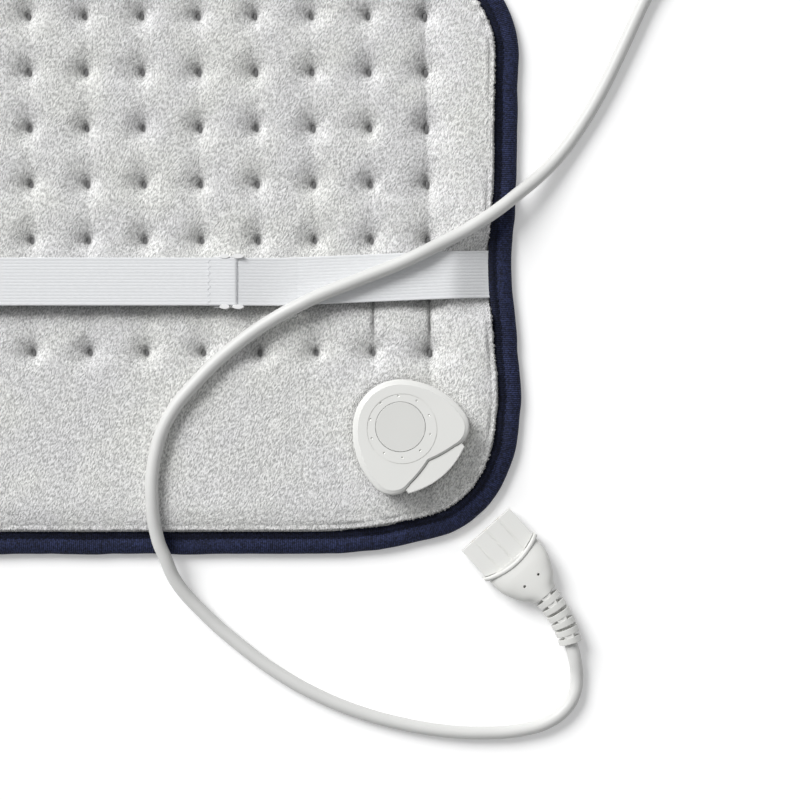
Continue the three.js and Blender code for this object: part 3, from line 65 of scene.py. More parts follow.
def middle_mm(node):
    return box_mm(node).mean(0)


def size_mm(node):
    low, high = box_mm(node)
    return high - low


# Sizes from the frame
HALF_WIDTH, HALF_DEPTH, BINDING_TOP = box_mm("edge_binding")[1]
CROWN = box_mm("top_cover")[1][2]
WADDING_LOW, WADDING_TOP = box_mm("upper_wadding")[:, 2]
WADDING_INSET = HALF_WIDTH - box_mm("upper_wadding")[1][0]
STRAP_Y = middle_mm("strap_return")[1]
STRAP_WIDTH = size_mm("strap_return")[1]
SLIDER_X = middle_mm("strap_slider")[0]
SOCKET_X, SOCKET_Y, _ = middle_mm("socket_disc")
SOCKET_Z = box_mm("socket_base")[0][2]
CONTROLLER_X, CONTROLLER_Y, _ = middle_mm("controller_bottom")
CONTROLLER_LENGTH, CONTROLLER_WIDTH, _ = size_mm("controller_bottom")
CONTROLLER_HEIGHT = box_mm("controller_top")[1][2]
MAINS_PLUG_X = box_mm("mains_plug_body")[0][0]
_, MAINS_PLUG_Y, MAINS_PLUG_Z = middle_mm("mains_plug_body")

# Pad
CORNER_RADIUS = 68
COVER_EDGE_TOP = 5.0
COVER_INSET = 6.0
RAMP_START = 14
RAMP_END = 34
GROOVE_INSET = 8.4
TUFT_PITCH_X = 29.8
TUFT_PITCH_Y = 29.5
TUFT_COLUMNS = [HALF_WIDTH - 48.8 - TUFT_PITCH_X * i for i in range(11)]
TUFT_ROWS = [106 - HALF_DEPTH + TUFT_PITCH_Y * i for i in range(7)]
TUFTS = [(x, y) for x in TUFT_COLUMNS for y in TUFT_ROWS]
TUFT_OFFSET = 1.75
TUFT_TILT = 0.0155
TUFT_DROP = 1.4
TUFT_FALL = 5.0
TUFT_HOLLOW = 2.8
TUFT_REACH = 4.8
TUFT_LEAN = 0.4
TACK_HOLLOW = 1.0
CREASE = 0.5
LAST_CREASE = 1.3
CREASE_FALL = 4.5
MARGIN_FALL = 12.0
CREASE_FADE = 14
STRAP_VALLEY = 3.0
PLUSH_SHEET = 1.2
PLUSH_FLOOR = WADDING_LOW + 2 * GAP
# Painted shading of the plush: a plain level, painted light in the last margin, painted shade beside it, at
# tacks, in folds and under the strap
PAINTED_SHADE_FIELD = 0.12
PAINTED_SHADE_REACH = sqrt(90)
PAINTED_SHADE_BESIDE = 0.18
PAINTED_SHADE_FOLDS = 0.8
PAINTED_SHADE_VALLEY = 0.2
MARGIN_PAINTED_LIGHT = 0.8
# Height, wavelength and seed of each random swell
PLUSH_SWELLS = [(0.25, 46, 3), (0.12, 13, 5)]
PLUSH_NAP = [(0.07, 3.6, 8)]
BINDING_WAVES = [(0.2, 34, 11), (0.08, 13, 12)]

# How the covers lie: under the strap and the socket, over the rim, and swollen between the tufts
TRENCH_SIDE = 12
SOCKET_SINK = 0.5
LINING_SHEET = 0.9
LINING_LIFT = 1.3
LINING_RAMP = 8
LINING_DRAW = 0.25
ROLL_START = 13.0
ROLL_WIDTH = 2.4
ROLL_SHARE = 0.76
SETTLE_WIDTH = 30
SLACK = 0.1
SWELL_LIMIT = 1.2
SWELL_CELLS = 9
SWELL_FRAMES = 20

# Strap
STRAP = 1.2
BAND_MIDDLE = 14.5
STRAP_TUCK = 4.4
RETURN_MIDDLE = 19.2
EYE_MIDDLE = 16.0
RING_X = -145.0
TAB_X = -154.0
STRAP_BEND = 126
STRAP_SLOPE = 5.2 / STRAP_BEND
RING_Z = (BAND_MIDDLE + RETURN_MIDDLE) / 2
WRAP = RETURN_MIDDLE - RING_Z
RIBS = 15
RISE_LENGTH = 30
RISE_POWER = 1.6

# Plug, cords and boots
PLUG_PLACE = (HALF_WIDTH - 16.9, 13.4 - HALF_DEPTH, 7.0)
PLUG_LENGTH = 46.5
PLUG_NECK = 7.0
RELIEF_LENGTH = 29
RELIEF_BEND = radians(27)
RELIEF_END = 6.1
CORD = 7.0
CORD_RADIUS = CORD / 2
CONTROLLER_SPLIT = 10.0
BOOT_LENGTH = 32
BOOT_REACH = CONTROLLER_LENGTH / 2 + BOOT_LENGTH
MAINS_BOOT = 24


def turned_place(x, y, z, degrees=0):
    """The matrix, in metres, of a group that stands at a point and is turned about the vertical."""
    return Matrix.Translation(Vector((x, y, z)) * MM) @ Matrix.Rotation(radians(degrees), 4, "Z")


SOCKET_TURN = -50
SOCKET_PLACE = turned_place(SOCKET_X, SOCKET_Y, SOCKET_Z, SOCKET_TURN)
PLUG_MATRIX = turned_place(*PLUG_PLACE, -48)
CONTROLLER_PLACE = turned_place(CONTROLLER_X, CONTROLLER_Y, 0)
MAINS_PLACE = turned_place(MAINS_PLUG_X, MAINS_PLUG_Y, MAINS_PLUG_Z)


# Materials


class Paint:
    """A procedural material under construction: a shader with chained colour and bump."""

    def __init__(self, name, colour, roughness, **sockets):
        self.material = bpy.data.materials.new(name)
        self.material.use_nodes = True
        self.tree = self.material.node_tree
        self.shader = self.tree.nodes["Principled BSDF"]
        self.colour = (*colour, 1)
        self.normal = None
        for socket, value in {"Base_Color": self.colour, "Roughness": roughness, **sockets}.items():
            self.set(socket.replace("_", " "), value)

    def feed(self, socket, value):
        """Links another node's output to a socket, or sets a value on it."""
        if isinstance(value, bpy.types.NodeSocket):
            self.tree.links.new(value, socket)
        else:
            socket.default_value = value

    def set(self, socket, value):
        self.feed(self.shader.inputs[socket], value)

    def node(self, kind, **inputs):
        made = self.tree.nodes.new("ShaderNode" + kind)
        for key, value in inputs.items():
            self.feed(made.inputs[key.replace("_", " ")], value)
        return made

    def coordinates(self, stretch=(1, 1, 1), source="Object", turn=0):
        place = self.node("TexCoord").outputs[source]
        scale = [1 / part for part in stretch]
        mapping = self.node("Mapping", Vector=place, Rotation=(0, 0, radians(turn)), Scale=scale)
        mapping.vector_type = "TEXTURE"
        return mapping.outputs["Vector"]

    def noise(self, size, stretch=(1, 1, 1), turn=0, **inputs):
        """Noise whose features are about size millimetres across."""
        place = self.coordinates(stretch, turn=turn)
        return self.node("TexNoise", Vector=place, Scale=1 / (size * MM), **inputs).outputs["Fac"]

    def waves(self, pitch, source="Object", direction="X", **inputs):
        """Even ridges, pitch millimetres apart."""
        place = self.coordinates(source=source)
        made = self.node("TexWave", Vector=place, Scale=pi / 10 / (pitch * MM), **inputs)
        made.bands_direction = direction
        return made.outputs["Fac"]

    def spread(self, factor, low, high):
        """The factor's range from low to high, stretched to 0 to 1."""
        return self.node("MapRange", Value=factor, From_Min=low, From_Max=high).outputs["Result"]

    def combined(self, kind, first_input, settings, *values):
        """A node that works on a row of its inputs."""
        made = self.node(kind)
        for name, value in settings.items():
            setattr(made, name, value)
        for i, value in enumerate(values):
            self.feed(made.inputs[first_input + i], value)
        return made

    def mixed(self, blend, factor, first, second):
        settings = {"data_type": "RGBA", "blend_type": blend}
        made = self.combined("Mix", 6, settings, first, second)
        self.feed(made.inputs["Factor"], factor)
        return made.outputs[2]

    def shade(self, factor, dark, light):
        """Multiplies the colour so far by a mix from dark to light, each a grey level or a colour."""
        ends = ((*np.broadcast_to(end, 3), 1) for end in (dark, light))
        self.colour = self.mixed("MULTIPLY", 1, self.colour, self.mixed("MIX", factor, *ends))
        self.set("Base Color", self.colour)

    def bump(self, factor, height, strength):
        """Relief of that height in millimetres, on top of the relief so far."""
        made = self.node("Bump", Strength=strength, Distance=height * MM, Height=factor)
        if self.normal:
            self.feed(made.inputs["Normal"], self.normal)
        self.normal = made.outputs["Normal"]
        self.set("Normal", self.normal)

    def weave(self, pitch, directions, strength):
        for direction in directions:
            self.bump(self.waves(pitch, direction=direction), 0.2, strength)

    def rough(self, factor, low, high):
        self.set("Roughness", self.node("MapRange", Value=factor, To_Min=low, To_Max=high).outputs["Result"])


def plush_paint():
    """Short pile: fine leaning strokes, small clumps, wide patches of lay, and painted shade and painted
    light from the mesh.
    """
    sheen = {"Sheen_Weight": 0.2, "Sheen_Roughness": 0.6}
    paint = Paint("plush", (0.87, 0.87, 0.86), 1.0, Specular_IOR_Level=0.1, **sheen)
    pile = paint.noise(0.7, stretch=(1, 0.4, 1), turn=-22, Roughness=0.65)
    clumps = paint.noise(3.4, stretch=(1, 0.7, 1), Distortion=0.4)
    patches = paint.noise(30, Detail=1)
    paint.shade(paint.spread(pile, 0.36, 0.62), 0.54, 1.14)
    paint.shade(paint.spread(clumps, 0.35, 0.65), 0.96, 1.02)
    paint.shade(paint.spread(patches, 0.35, 0.65), (0.975, 0.97, 0.985), (1.015, 1.015, 1.0))
    # Painted shade at tacks, folds and under the strap, and painted light in the last margin, read from the
    # mesh
    painted_shading = paint.node("Attribute")
    painted_shading.attribute_name = "painted_shading"
    paint.shade(painted_shading.outputs["Fac"], 1.12, 0.15)
    paint.bump(clumps, 0.6, 0.5)
    paint.bump(pile, 1.1, 0.9)
    return paint.material


def lining_paint():
    paint = Paint("lining", (0.72, 0.70, 0.66), 0.95)
    paint.weave(0.9, "XY", 0.4)
    paint.shade(paint.noise(12), 0.93, 1.04)
    return paint.material


def binding_paint(name="binding", level=1.0):
    colour = [level * part for part in (0.0115, 0.0155, 0.043)]
    sheen = {"Sheen_Weight": 0.06, "Sheen_Tint": (0.45, 0.5, 0.8, 1)}
    paint = Paint(name, colour, 0.85, Specular_IOR_Level=0.3, **sheen)
    ribs = paint.waves(1.05, source="UV", Distortion=0.7)
    threads = paint.noise(0.9)
    paint.shade(ribs, 0.55, 1.5)
    paint.shade(paint.spread(threads, 0.36, 0.64), 0.4, 1.9)
    paint.shade(paint.spread(paint.noise(9), 0.35, 0.65), 0.85, 1.2)
    paint.bump(ribs, 0.35, 0.7)
    paint.bump(threads, 0.3, 0.6)
    return paint.material


def elastic_paint():
    paint = Paint("elastic", (0.80, 0.81, 0.825), 0.75, Specular_IOR_Level=0.3)
    threads = paint.noise(0.7, stretch=(0.35, 1.4, 1))
    paint.shade(paint.spread(threads, 0.3, 0.7), 0.95, 1.02)
    paint.bump(threads, 0.1, 0.35)
    return paint.material


def moulded_paint(name, colour, roughness, grain=0.35):
    """Moulded plastic: a fine spark-eroded grain and a slight change of gloss."""
    paint = Paint(name, colour, roughness)
    flow = paint.noise(24, Detail=1)
    paint.bump(paint.noise(grain), 0.06, 0.22)
    paint.rough(flow, roughness - 0.07, roughness + 0.07)
    paint.shade(paint.spread(flow, 0.3, 0.7), 0.985, 1.01)
    return paint.material


def cord_paint():
    paint = Paint("cord", (0.70, 0.70, 0.685), 0.45)
    handling = paint.noise(16)
    paint.rough(handling, 0.38, 0.56)
    paint.shade(paint.spread(handling, 0.3, 0.7), 0.975, 1.01)
    paint.bump(paint.noise(0.9), 0.06, 0.15)
    return paint.material


def woven_paint(name, colour):
    paint = Paint(name, colour, 0.9)
    paint.weave(0.7, "XZ", 0.5)
    paint.shade(paint.noise(1.5), 0.8, 1.15)
    return paint.material


def metal_paint(name, colour, roughness):
    paint = Paint(name, colour, roughness, Metallic=1.0)
    brushed = paint.noise(0.8, stretch=(0.08, 1, 1))
    paint.rough(brushed, roughness - 0.08, roughness + 0.12)
    paint.bump(brushed, 0.02, 0.15)
    return paint.material


PLUSH = plush_paint()
LINING = lining_paint()
BINDING = binding_paint()
# A darker copy of the binding: painted shade for its inner strip
BINDING_PAINTED_SHADE = binding_paint("binding_painted_shade", 0.5)
THREAD = binding_paint("binding_thread", 0.6)
ELASTIC = elastic_paint()
SHELL = moulded_paint("shell", (0.74, 0.74, 0.715), 0.46)
CAP = moulded_paint("cap_shell", (0.80, 0.80, 0.775), 0.5)
NYLON = moulded_paint("nylon", (0.88, 0.88, 0.88), 0.4)
CORD_SHEATH = cord_paint()
TIE = woven_paint("tie", (0.10, 0.10, 0.11))
TACK = woven_paint("tack", (0.2, 0.2, 0.2))
INSULATOR = moulded_paint("insulator", (0.30, 0.31, 0.33), 0.6)
BUTTON = moulded_paint("button", (0.34, 0.36, 0.39), 0.5)
SYMBOL = moulded_paint("symbol", (0.80, 0.80, 0.78), 0.5)
WINDOW = moulded_paint("window", (0.20, 0.22, 0.24), 0.12, grain=6)
BOARD = moulded_paint("board", (0.04, 0.16, 0.08), 0.4)
BRASS = metal_paint("brass", (0.72, 0.52, 0.22), 0.3)
STEEL = metal_paint("steel", (0.62, 0.63, 0.65), 0.3)


# Shapes: each is a list of points in millimetres and a list of faces


def between(low, high, part=0.5):
    return low + (high - low) * part


def loft(rings, closed=False):
    """A skin through rings of equal count, with flat ends unless it closes on itself."""
    count = len(rings[0])
    around = np.arange(count)
    after = np.roll(around, -1)
    faces = []
    for r in range(len(rings) - (not closed)):
        low, high = r * count, (r + 1) % len(rings) * count
        faces += np.stack([low + around, low + after, high + after, high + around], 1).tolist()
    if not closed:
        faces.append(around[::-1].tolist())
        faces.append((around + (len(rings) - 1) * count).tolist())
    return np.concatenate(rings), faces


def merge(*shapes):
    points, faces, start = [], [], 0
    for some, corners in shapes:
        points.append(np.asarray(some, float))
        faces += [[start + i for i in face] for face in corners]
        start += len(some)
    return np.concatenate(points), faces


def moved(shape, offset=(0, 0, 0), turn=None):
    points = np.asarray(shape[0], float)
    if turn is not None:
        points = points @ np.array(turn.to_3x3()).T
    return points + np.array(offset), shape[1]


def turned(angle, axis="Z"):
    return Matrix.Rotation(angle, 4, axis)


def arc(x, y, radius, start, end, count):
    angles = np.linspace(start, end, count)
    return np.stack([x + radius * np.cos(angles), y + radius * np.sin(angles)], 1)


def circle(sides):
    """Even points round the unit circle."""
    return arc(0, 0, 1, 0, 2 * pi, sides + 1)[:-1]


def bent(start, control, end, count):
    """Points of a quadratic curve."""
    t = np.linspace(0, 1, count)[:, None]
    start, control, end = np.array(start), np.array(control), np.array(end)
    return (1 - t) ** 2 * start + 2 * t * (1 - t) * control + t**2 * end


def at_height(flat, z):
    return np.column_stack([flat, np.full(len(flat), z)])


def rounded_ring(width, depth, radius, inset=0, steps=10):
    """A rounded rectangle about the origin, drawn in by an inset, with even corner arcs."""
    x, y = width / 2 - radius, depth / 2 - radius
    corners = [(x, y, 0), (-x, y, 1), (-x, -y, 2), (x, -y, 3)]
    quarter = pi / 2
    arcs = [arc(cx, cy, radius - inset, i * quarter, (i + 1) * quarter, steps) for cx, cy, i in corners]
    return np.concatenate(arcs)


def slab_profile(z0, z1, edge, steps=4):
    """Insets and heights of a slab whose two edges are rounded."""
    angles = np.linspace(0, pi / 2, steps)
    low = [(edge * (1 - sin(a)), z0 + edge * (1 - cos(a))) for a in angles]
    return low + [(inset, z1 + z0 - z) for inset, z in reversed(low)]


def outline_slab(outline, profile):
    """A body through outlines at the insets and heights of a profile."""
    return loft([at_height(outline(inset), z) for inset, z in profile])


def revolve(profile, sides=48, closed=False):
    """A turned body about the vertical from radii and heights."""
    return loft([at_height(circle(sides) * radius, z) for radius, z in profile], closed)


def revolve_x(profile, sides=48):
    return moved(revolve(profile, sides), turn=turned(pi / 2, "Y"))


def rod(radius, start, end, sides):
    return revolve([(radius, start), (radius, end)], sides)


def rod_x(radius, start, end, sides):
    return revolve_x([(radius, start), (radius, end)], sides)


def block(low, high, edge=0.3):
    """A box with rounded edges."""
    low, high = np.array(low, float), np.array(high, float)
    width, depth, height = high - low
    edge = min(edge, min(width, depth, height) / 2.01)
    profile = slab_profile(0, height, edge)
    shape = outline_slab(lambda inset: rounded_ring(width, depth, edge + 0.01, inset, 4), profile)
    return moved(shape, [*(low + high)[:2] / 2, low[2]])


def dome(radius, height, sides, sunk=0.3):
    """A small rounded bump on a flat face, with its foot sunk into it."""
    angles = np.linspace(0, pi / 2 * 0.93, 5)
    return revolve([(radius, -sunk)] + [(radius * cos(a), height * sin(a)) for a in angles], sides)


def sweep_tube(path, radius, sides=10, closed=False):
    """A round tube along points; the radius may change from point to point."""
    path = np.asarray(path, float)
    ahead = np.roll(path, -1, 0) - np.roll(path, 1, 0)
    if not closed:
        ahead[0], ahead[-1] = path[1] - path[0], path[-1] - path[-2]
    ahead /= np.linalg.norm(ahead, axis=1)[:, None]
    rings = []
    for point, forward, r in zip(path, ahead, np.broadcast_to(radius, len(path))):
        side = np.cross((0.0, 0.0, 1.0), forward)
        length = np.linalg.norm(side)
        side = side / length if length > 1e-3 else np.array([1.0, 0, 0])
        rings.append(point + r * circle(sides) @ [side, np.cross(forward, side)])
    return loft(rings, closed)


# Pieces


def mesh_of(name, shape):
    points, faces = shape
    mesh = bpy.data.meshes.new(name)
    mesh.from_pydata((np.asarray(points) * MM).tolist(), [], faces)
    mesh.validate()
    mesh.update()
    return mesh


def shown(name, data):
    """A new object in the scene."""
    made = bpy.data.objects.new(name, data)
    SCENE.collection.objects.link(made)
    return made


def carved(shape, *tools, operation="DIFFERENCE"):
    """The shape with the tools cut out of it or joined to it, as points and faces."""
    made = shown("blank", mesh_of("blank", shape))
    scratch = [made]
    for tool in tools:
        step = made.modifiers.new("cut", "BOOLEAN")
        step.operation = operation
        step.solver = "EXACT"
        step.object = shown("cutter", mesh_of("cutter", tool))
        scratch.append(step.object)
    ready = made.evaluated_get(bpy.context.evaluated_depsgraph_get())
    points = np.array([v.co for v in ready.data.vertices]) / MM
    faces = [list(face.vertices) for face in ready.data.polygons]
    for one in scratch:
        bpy.data.objects.remove(one)
    return points, faces


def piece(name, shape, material, replaced=(), place=None, body=PAD_BODY, slot=None, sharp=38):
    """A shown piece: its mesh, shading, material, body and the nodes that it stands for."""
    mesh = mesh_of(name, shape)
    if place is not None:
        mesh.transform(place)
    mesh.shade_smooth()
    mesh.set_sharp_from_angle(angle=radians(sharp))
    mesh.materials.append(material)
    made = shown(name, mesh)
    if body:
        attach(made, body)
    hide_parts(*replaced)
    if sharp < 60:
        made.modifiers.new("flat_faces", "WEIGHTED_NORMAL").keep_sharp = True
    return made


def dress(node, material):
    """A node that keeps its solid gets its procedural material."""
    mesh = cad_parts[node].data
    mesh.materials.clear()
    mesh.materials.append(material)


# Camera, light and floor

VIEW_MIDDLE = (138.0, -83.4)
VIEW_WIDTH = 420.0
VIEW_HEIGHT = 1100.0
SENSOR = 36.0
FLOOR_REACH = 4000.0
FLOOR_Z = -0.2
FLOOR_LIFT = 0.2


def make_camera():
    camera = bpy.data.cameras.new("camera")
    camera.sensor_width = SENSOR
    camera.lens = SENSOR * (VIEW_HEIGHT - CROWN) / VIEW_WIDTH
    SCENE.camera = shown("camera", camera)
    SCENE.camera.location = Vector((*VIEW_MIDDLE, VIEW_HEIGHT)) * MM


def make_sun(name, strength, azimuth, elevation, softness):
    """A soft lamp that shines from an azimuth, anticlockwise from +X, and an elevation."""
    sun = bpy.data.lights.new(name, "SUN")
    sun.energy = strength
    sun.angle = radians(softness)
    a, e = radians(azimuth), radians(elevation)
    towards = Vector((cos(a) * cos(e), sin(a) * cos(e), sin(e)))
    shown(name, sun).rotation_euler = towards.to_track_quat("Z", "Y").to_euler()


def make_world(strength):
    """A dim sky for the light, and plain white where the camera looks past everything."""
    world = bpy.data.worlds.new("studio")
    world.use_nodes = True
    SCENE.world = world
    tree = world.node_tree
    light = tree.nodes["Background"]
    light.inputs["Color"].default_value = (0.98, 0.99, 1, 1)
    light.inputs["Strength"].default_value = strength
    backdrop = tree.nodes.new("ShaderNodeBackground")
    backdrop.inputs["Color"].default_value = (1, 1, 1, 1)
    mix = tree.nodes.new("ShaderNodeMixShader")
    path = tree.nodes.new("ShaderNodeLightPath")
    outputs = [path.outputs["Is Camera Ray"], light.outputs["Background"], backdrop.outputs["Background"]]
    for output, socket in zip(outputs, mix.inputs):
        tree.links.new(output, socket)
    tree.links.new(mix.outputs["Shader"], tree.nodes["World Output"].inputs["Surface"])


def floor_paint():
    """A white floor that keeps the shadows and looks white to the camera."""
    paint = Paint("floor", (0.9, 0.9, 0.9), 0.9, Emission_Color=(1, 1, 1, 1))
    path = paint.node("LightPath")
    rays = [path.outputs[ray] for ray in ("Is Camera Ray", "Is Glossy Ray")]
    seen = paint.combined("Math", 0, {"operation": "MAXIMUM"}, *rays).outputs["Value"]
    lift = paint.combined("Math", 0, {"operation": "MULTIPLY"}, seen, FLOOR_LIFT).outputs["Value"]
    paint.set("Emission Strength", lift)
    return paint.material


def make_floor():
    corners = [(-1, -1), (1, -1), (1, 1), (-1, 1)]
    mesh = mesh_of("floor", (at_height(np.array(corners) * FLOOR_REACH, FLOOR_Z), [[0, 1, 2, 3]]))
    mesh.materials.append(floor_paint())
    made = shown("floor", mesh)


make_camera()
make_sun("key", strength=3.2, azimuth=135, elevation=38, softness=32)
make_sun("fill", strength=0.15, azimuth=20, elevation=60, softness=60)
make_world(strength=0.28)
make_floor()
SCENE.view_settings.view_transform = "Standard"


# Cords: the routes are the part's own, from the pad's lower right corner and from the controller's boots

ON_FLOOR = CORD_RADIUS + GAP / 2
ON_BINDING = BINDING_TOP + GAP + CORD_RADIUS
ON_PLUSH = CROWN + GAP + CORD_RADIUS
ON_STRAP = BAND_MIDDLE + STRAP / 2 + GAP + CORD_RADIUS
CORD_ROUTE = [
    (31.5, -65.4, ON_FLOOR),
    (29.9, -74.8, ON_FLOOR),
    (25.2, -82.2, ON_FLOOR),
    (16.8, -88.5, ON_FLOOR),
    (3.7, -92.7, ON_FLOOR),
    (-19.9, -94.5, ON_FLOOR),
    (-40.9, -93.2, ON_FLOOR),
    (-61.9, -89.5, ON_FLOOR),
    (-83, -83.7, ON_FLOOR),
    (-104, -75.3, ON_FLOOR),
    (-125, -63.8, ON_FLOOR),
    (-146, -48.6, ON_FLOOR),
    (-167, -29.7, between(ON_FLOOR, ON_BINDING, 0.2)),
    (-180.1, -13.9, between(ON_FLOOR, ON_BINDING, 0.65)),
    (-185.8, -0.3, ON_BINDING + 0.8),
    (-189, 8.1, ON_BINDING + 2.4),
    (-191.8, 29.1, ON_PLUSH),
    (-190.6, 50.1, ON_PLUSH),
    (-183.8, 71.1, ON_PLUSH),
    (-167.5, 92.1, ON_PLUSH),
    (-146, 111.8, ON_PLUSH),
    (-125, 125.7, between(ON_PLUSH, ON_STRAP, 0.65)),
    (-114, 131.4, ON_STRAP),
    (-104, 136.2, ON_STRAP),
    (-83, 144.6, ON_STRAP),
    (-61.9, 153, ON_STRAP),
    (-52, 157.6, ON_STRAP),
    (-40.9, 163.3, between(ON_PLUSH, ON_STRAP)),
    (-30, 169, ON_PLUSH),
    (-19.9, 175.1, ON_PLUSH - 0.6),
    (-9.4, 182.4, between(ON_BINDING, ON_PLUSH)),
    (-1.6, 188.7, ON_BINDING + 0.8),
    (11.6, 199.8, between(ON_FLOOR, ON_BINDING, 0.55)),
    (22.1, 210.8, between(ON_FLOOR, ON_BINDING, 0.15)),
    (32.6, 225, ON_FLOOR),
    (43.1, 242.3, ON_FLOOR),
    (53.6, 263.3, ON_FLOOR),
    (66.7, 291.6, ON_FLOOR),
]
CORD_SWING = [
    (48, -57, ON_FLOOR),
    (50, -26, ON_FLOOR),
    (35, -7, between(ON_FLOOR, CONTROLLER_SPLIT, 0.4)),
]


def boot_end(side):
    """A point a little past a boot's end, and one a diameter further out."""
    x = CONTROLLER_X + side * BOOT_REACH
    return [np.array([x + side * out, CONTROLLER_Y, CONTROLLER_SPLIT]) for out in (GAP, GAP + CORD)]


def relief_place(along):
    """Where the plug's strain relief runs in the plug's frame: its point and its heading."""
    share = along / RELIEF_LENGTH
    radius = RELIEF_LENGTH / RELIEF_BEND
    angle = -RELIEF_BEND * share
    x = PLUG_LENGTH + GAP + radius * sin(-angle)
    return np.array([x, -radius * (1 - cos(angle)), (RELIEF_END - PLUG_NECK) * share**2]), angle


def connector_route():
    tip, angle = relief_place(RELIEF_LENGTH)
    away = np.array([cos(angle), sin(angle), 0])
    start = [np.array(PLUG_MATRIX @ Vector((tip + away * out) * MM)) / MM for out in (GAP, GAP + CORD)]
    start[1][2] = between(ON_FLOOR, start[0][2], 0.85)
    laid = [np.array([HALF_WIDTH + x, y - HALF_DEPTH, z]) for x, y, z in CORD_ROUTE]
    end, before = boot_end(1)
    swing = [end * (1, 1, 0) + np.array(point) for point in CORD_SWING]
    return [end, before, *swing[::-1], *laid[::-1], *start[::-1]]


COIL_INNER = 30
COIL_STEP = CORD + 0.5
COIL_LAYER_STEPS = 62
COIL_TURN_STEPS = 24
COIL_CLIMB = COIL_TURN_STEPS // 2
COIL_OUTER = COIL_INNER + COIL_STEP * COIL_LAYER_STEPS / COIL_TURN_STEPS
COIL_AWAY = 134
COIL_BESIDE = 26
TIE_BAND = 0.6
COIL_X = CONTROLLER_X - BOOT_REACH - COIL_AWAY
COIL_MIDDLE = np.array([COIL_X, CONTROLLER_Y + COIL_OUTER - COIL_BESIDE, TIE_BAND + GAP + CORD_RADIUS])


def coil_point(step):
    """In along the lower layer, up a layer while it turns back, out along the upper layer."""
    away = abs(step - COIL_LAYER_STEPS - COIL_CLIMB / 2) - COIL_CLIMB / 2
    radius = COIL_INNER + COIL_STEP * away / COIL_TURN_STEPS
    lift = min(max((step - COIL_LAYER_STEPS) / COIL_CLIMB, 0), 1)
    angle = -pi / 2 - 2 * pi * step / COIL_TURN_STEPS
    return COIL_MIDDLE + np.array([radius * cos(angle), radius * sin(angle), COIL_STEP * lift])


def beyond(tip, inner, out):
    away = tip - inner
    return tip + away / np.linalg.norm(away) * out


def mains_route():
    coil = [coil_point(step) for step in range(2 * COIL_LAYER_STEPS + COIL_CLIMB + 1)]
    start, before = boot_end(-1)
    entry = beyond(coil[0], coil[1], 2 * CORD)
    leave = beyond(coil[-1], coil[-2], 2 * CORD)
    laid = [between(before, entry, part) for part in (0.4, 0.7)]
    for point in laid:
        point[2] = ON_FLOOR
    relief = np.array([MAINS_PLUG_X - MAINS_BOOT - GAP, MAINS_PLUG_Y, MAINS_PLUG_Z])
    return [start, before, *laid, entry, *coil, leave, relief - (CORD, 0, 0), relief]


def cord_curve(name, route, replaced):
    """A round cord as one smooth open curve through its route."""
    curve = bpy.data.curves.new(name, "CURVE")
    curve.dimensions = "3D"
    curve.bevel_depth = CORD_RADIUS * MM
    curve.bevel_resolution = curve.resolution_u = 6
    curve.use_fill_caps = True
    spline = curve.splines.new("BEZIER")
    spline.bezier_points.add(len(route) - 1)
    for knot, point in zip(spline.bezier_points, route):
        knot.co = Vector(point) * MM
        knot.handle_left_type = knot.handle_right_type = "AUTO"
    curve.materials.append(CORD_SHEATH)
    made = shown(name, curve)
    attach(made, PAD_BODY)
    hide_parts(*replaced)
    return made


connector_cord = cord_curve("connector_flex", connector_route(), ["connector_cord"])
mains_cord = cord_curve("mains_flex", mains_route(), ["mains_lead", "mains_coil", "mains_tail"])


# Pad


def inset_of(x, y):
    """How far a point lies inside the pad's outline."""
    qx = np.abs(x) - (HALF_WIDTH - CORNER_RADIUS)
    qy = np.abs(y) - (HALF_DEPTH - CORNER_RADIUS)
    outside = np.hypot(np.maximum(qx, 0), np.maximum(qy, 0)) + np.minimum(np.maximum(qx, qy), 0)
    return CORNER_RADIUS - outside


def ripple(x, y, wavelength, seed, waves=16):
    """A smooth random swell, mostly between -1 and 1."""
    rng = np.random.default_rng(seed)
    total = np.zeros_like(x)
    for _ in range(waves):
        angle, phase = rng.uniform(0, 2 * pi, 2)
        length = wavelength * rng.uniform(0.7, 1.4)
        total += np.cos((x * cos(angle) + y * sin(angle)) * 2 * pi / length + phase)
    return total / sqrt(waves)


def ripples(x, y, rows):
    """The sum of swells, each given by its height, wavelength and seed."""
    return sum(height * ripple(x, y, wavelength, seed) for height, wavelength, seed in rows)


def smooth(value, low, high):
    t = np.clip((value - low) / (high - low), 0, 1)
    return t * t * (3 - 2 * t)


def bell(value, width):
    """A round peak of height 1."""
    return np.exp(-((value / width) ** 2))


def tuft_shift(y):
    """How far right the sewn columns run at a height on the pad: they lean a little."""
    return TUFT_OFFSET - TUFT_TILT * y


def tufts(x, y, hollow):
    """The sum of one hollow at each tuft, given by its offsets from the tuft."""
    x = x - tuft_shift(y)
    depth = np.zeros_like(x)
    for tx, ty in TUFTS:
        near = (np.abs(x - tx) < TUFT_PITCH_X) & (np.abs(y - ty) < TUFT_PITCH_Y)
        depth[near] += hollow(x[near] - tx, y[near] - ty)
    return depth


def pointed_hollow(dx, dy):
    return np.exp(-np.hypot(dx, dy) / TUFT_FALL)


def upper_left_side(dx, dy):
    """From -1 to 1: how far a point lies to the upper left of a tuft, where the hollow's wall faces away from
    the lamp.
    """
    return (dy - dx) / sqrt(2) / np.maximum(np.hypot(dx, dy), 0.1)


def sewn_hollow(dx, dy):
    """A hollow drawn out to the upper left, with a short, steep well under the tack."""
    reach = TUFT_REACH * (1 + TUFT_LEAN * upper_left_side(dx, dy))
    return TUFT_HOLLOW * np.exp(-np.hypot(dx, dy) / reach) + TACK_HOLLOW * bell(dx, 1.5) * bell(dy, 2.6)


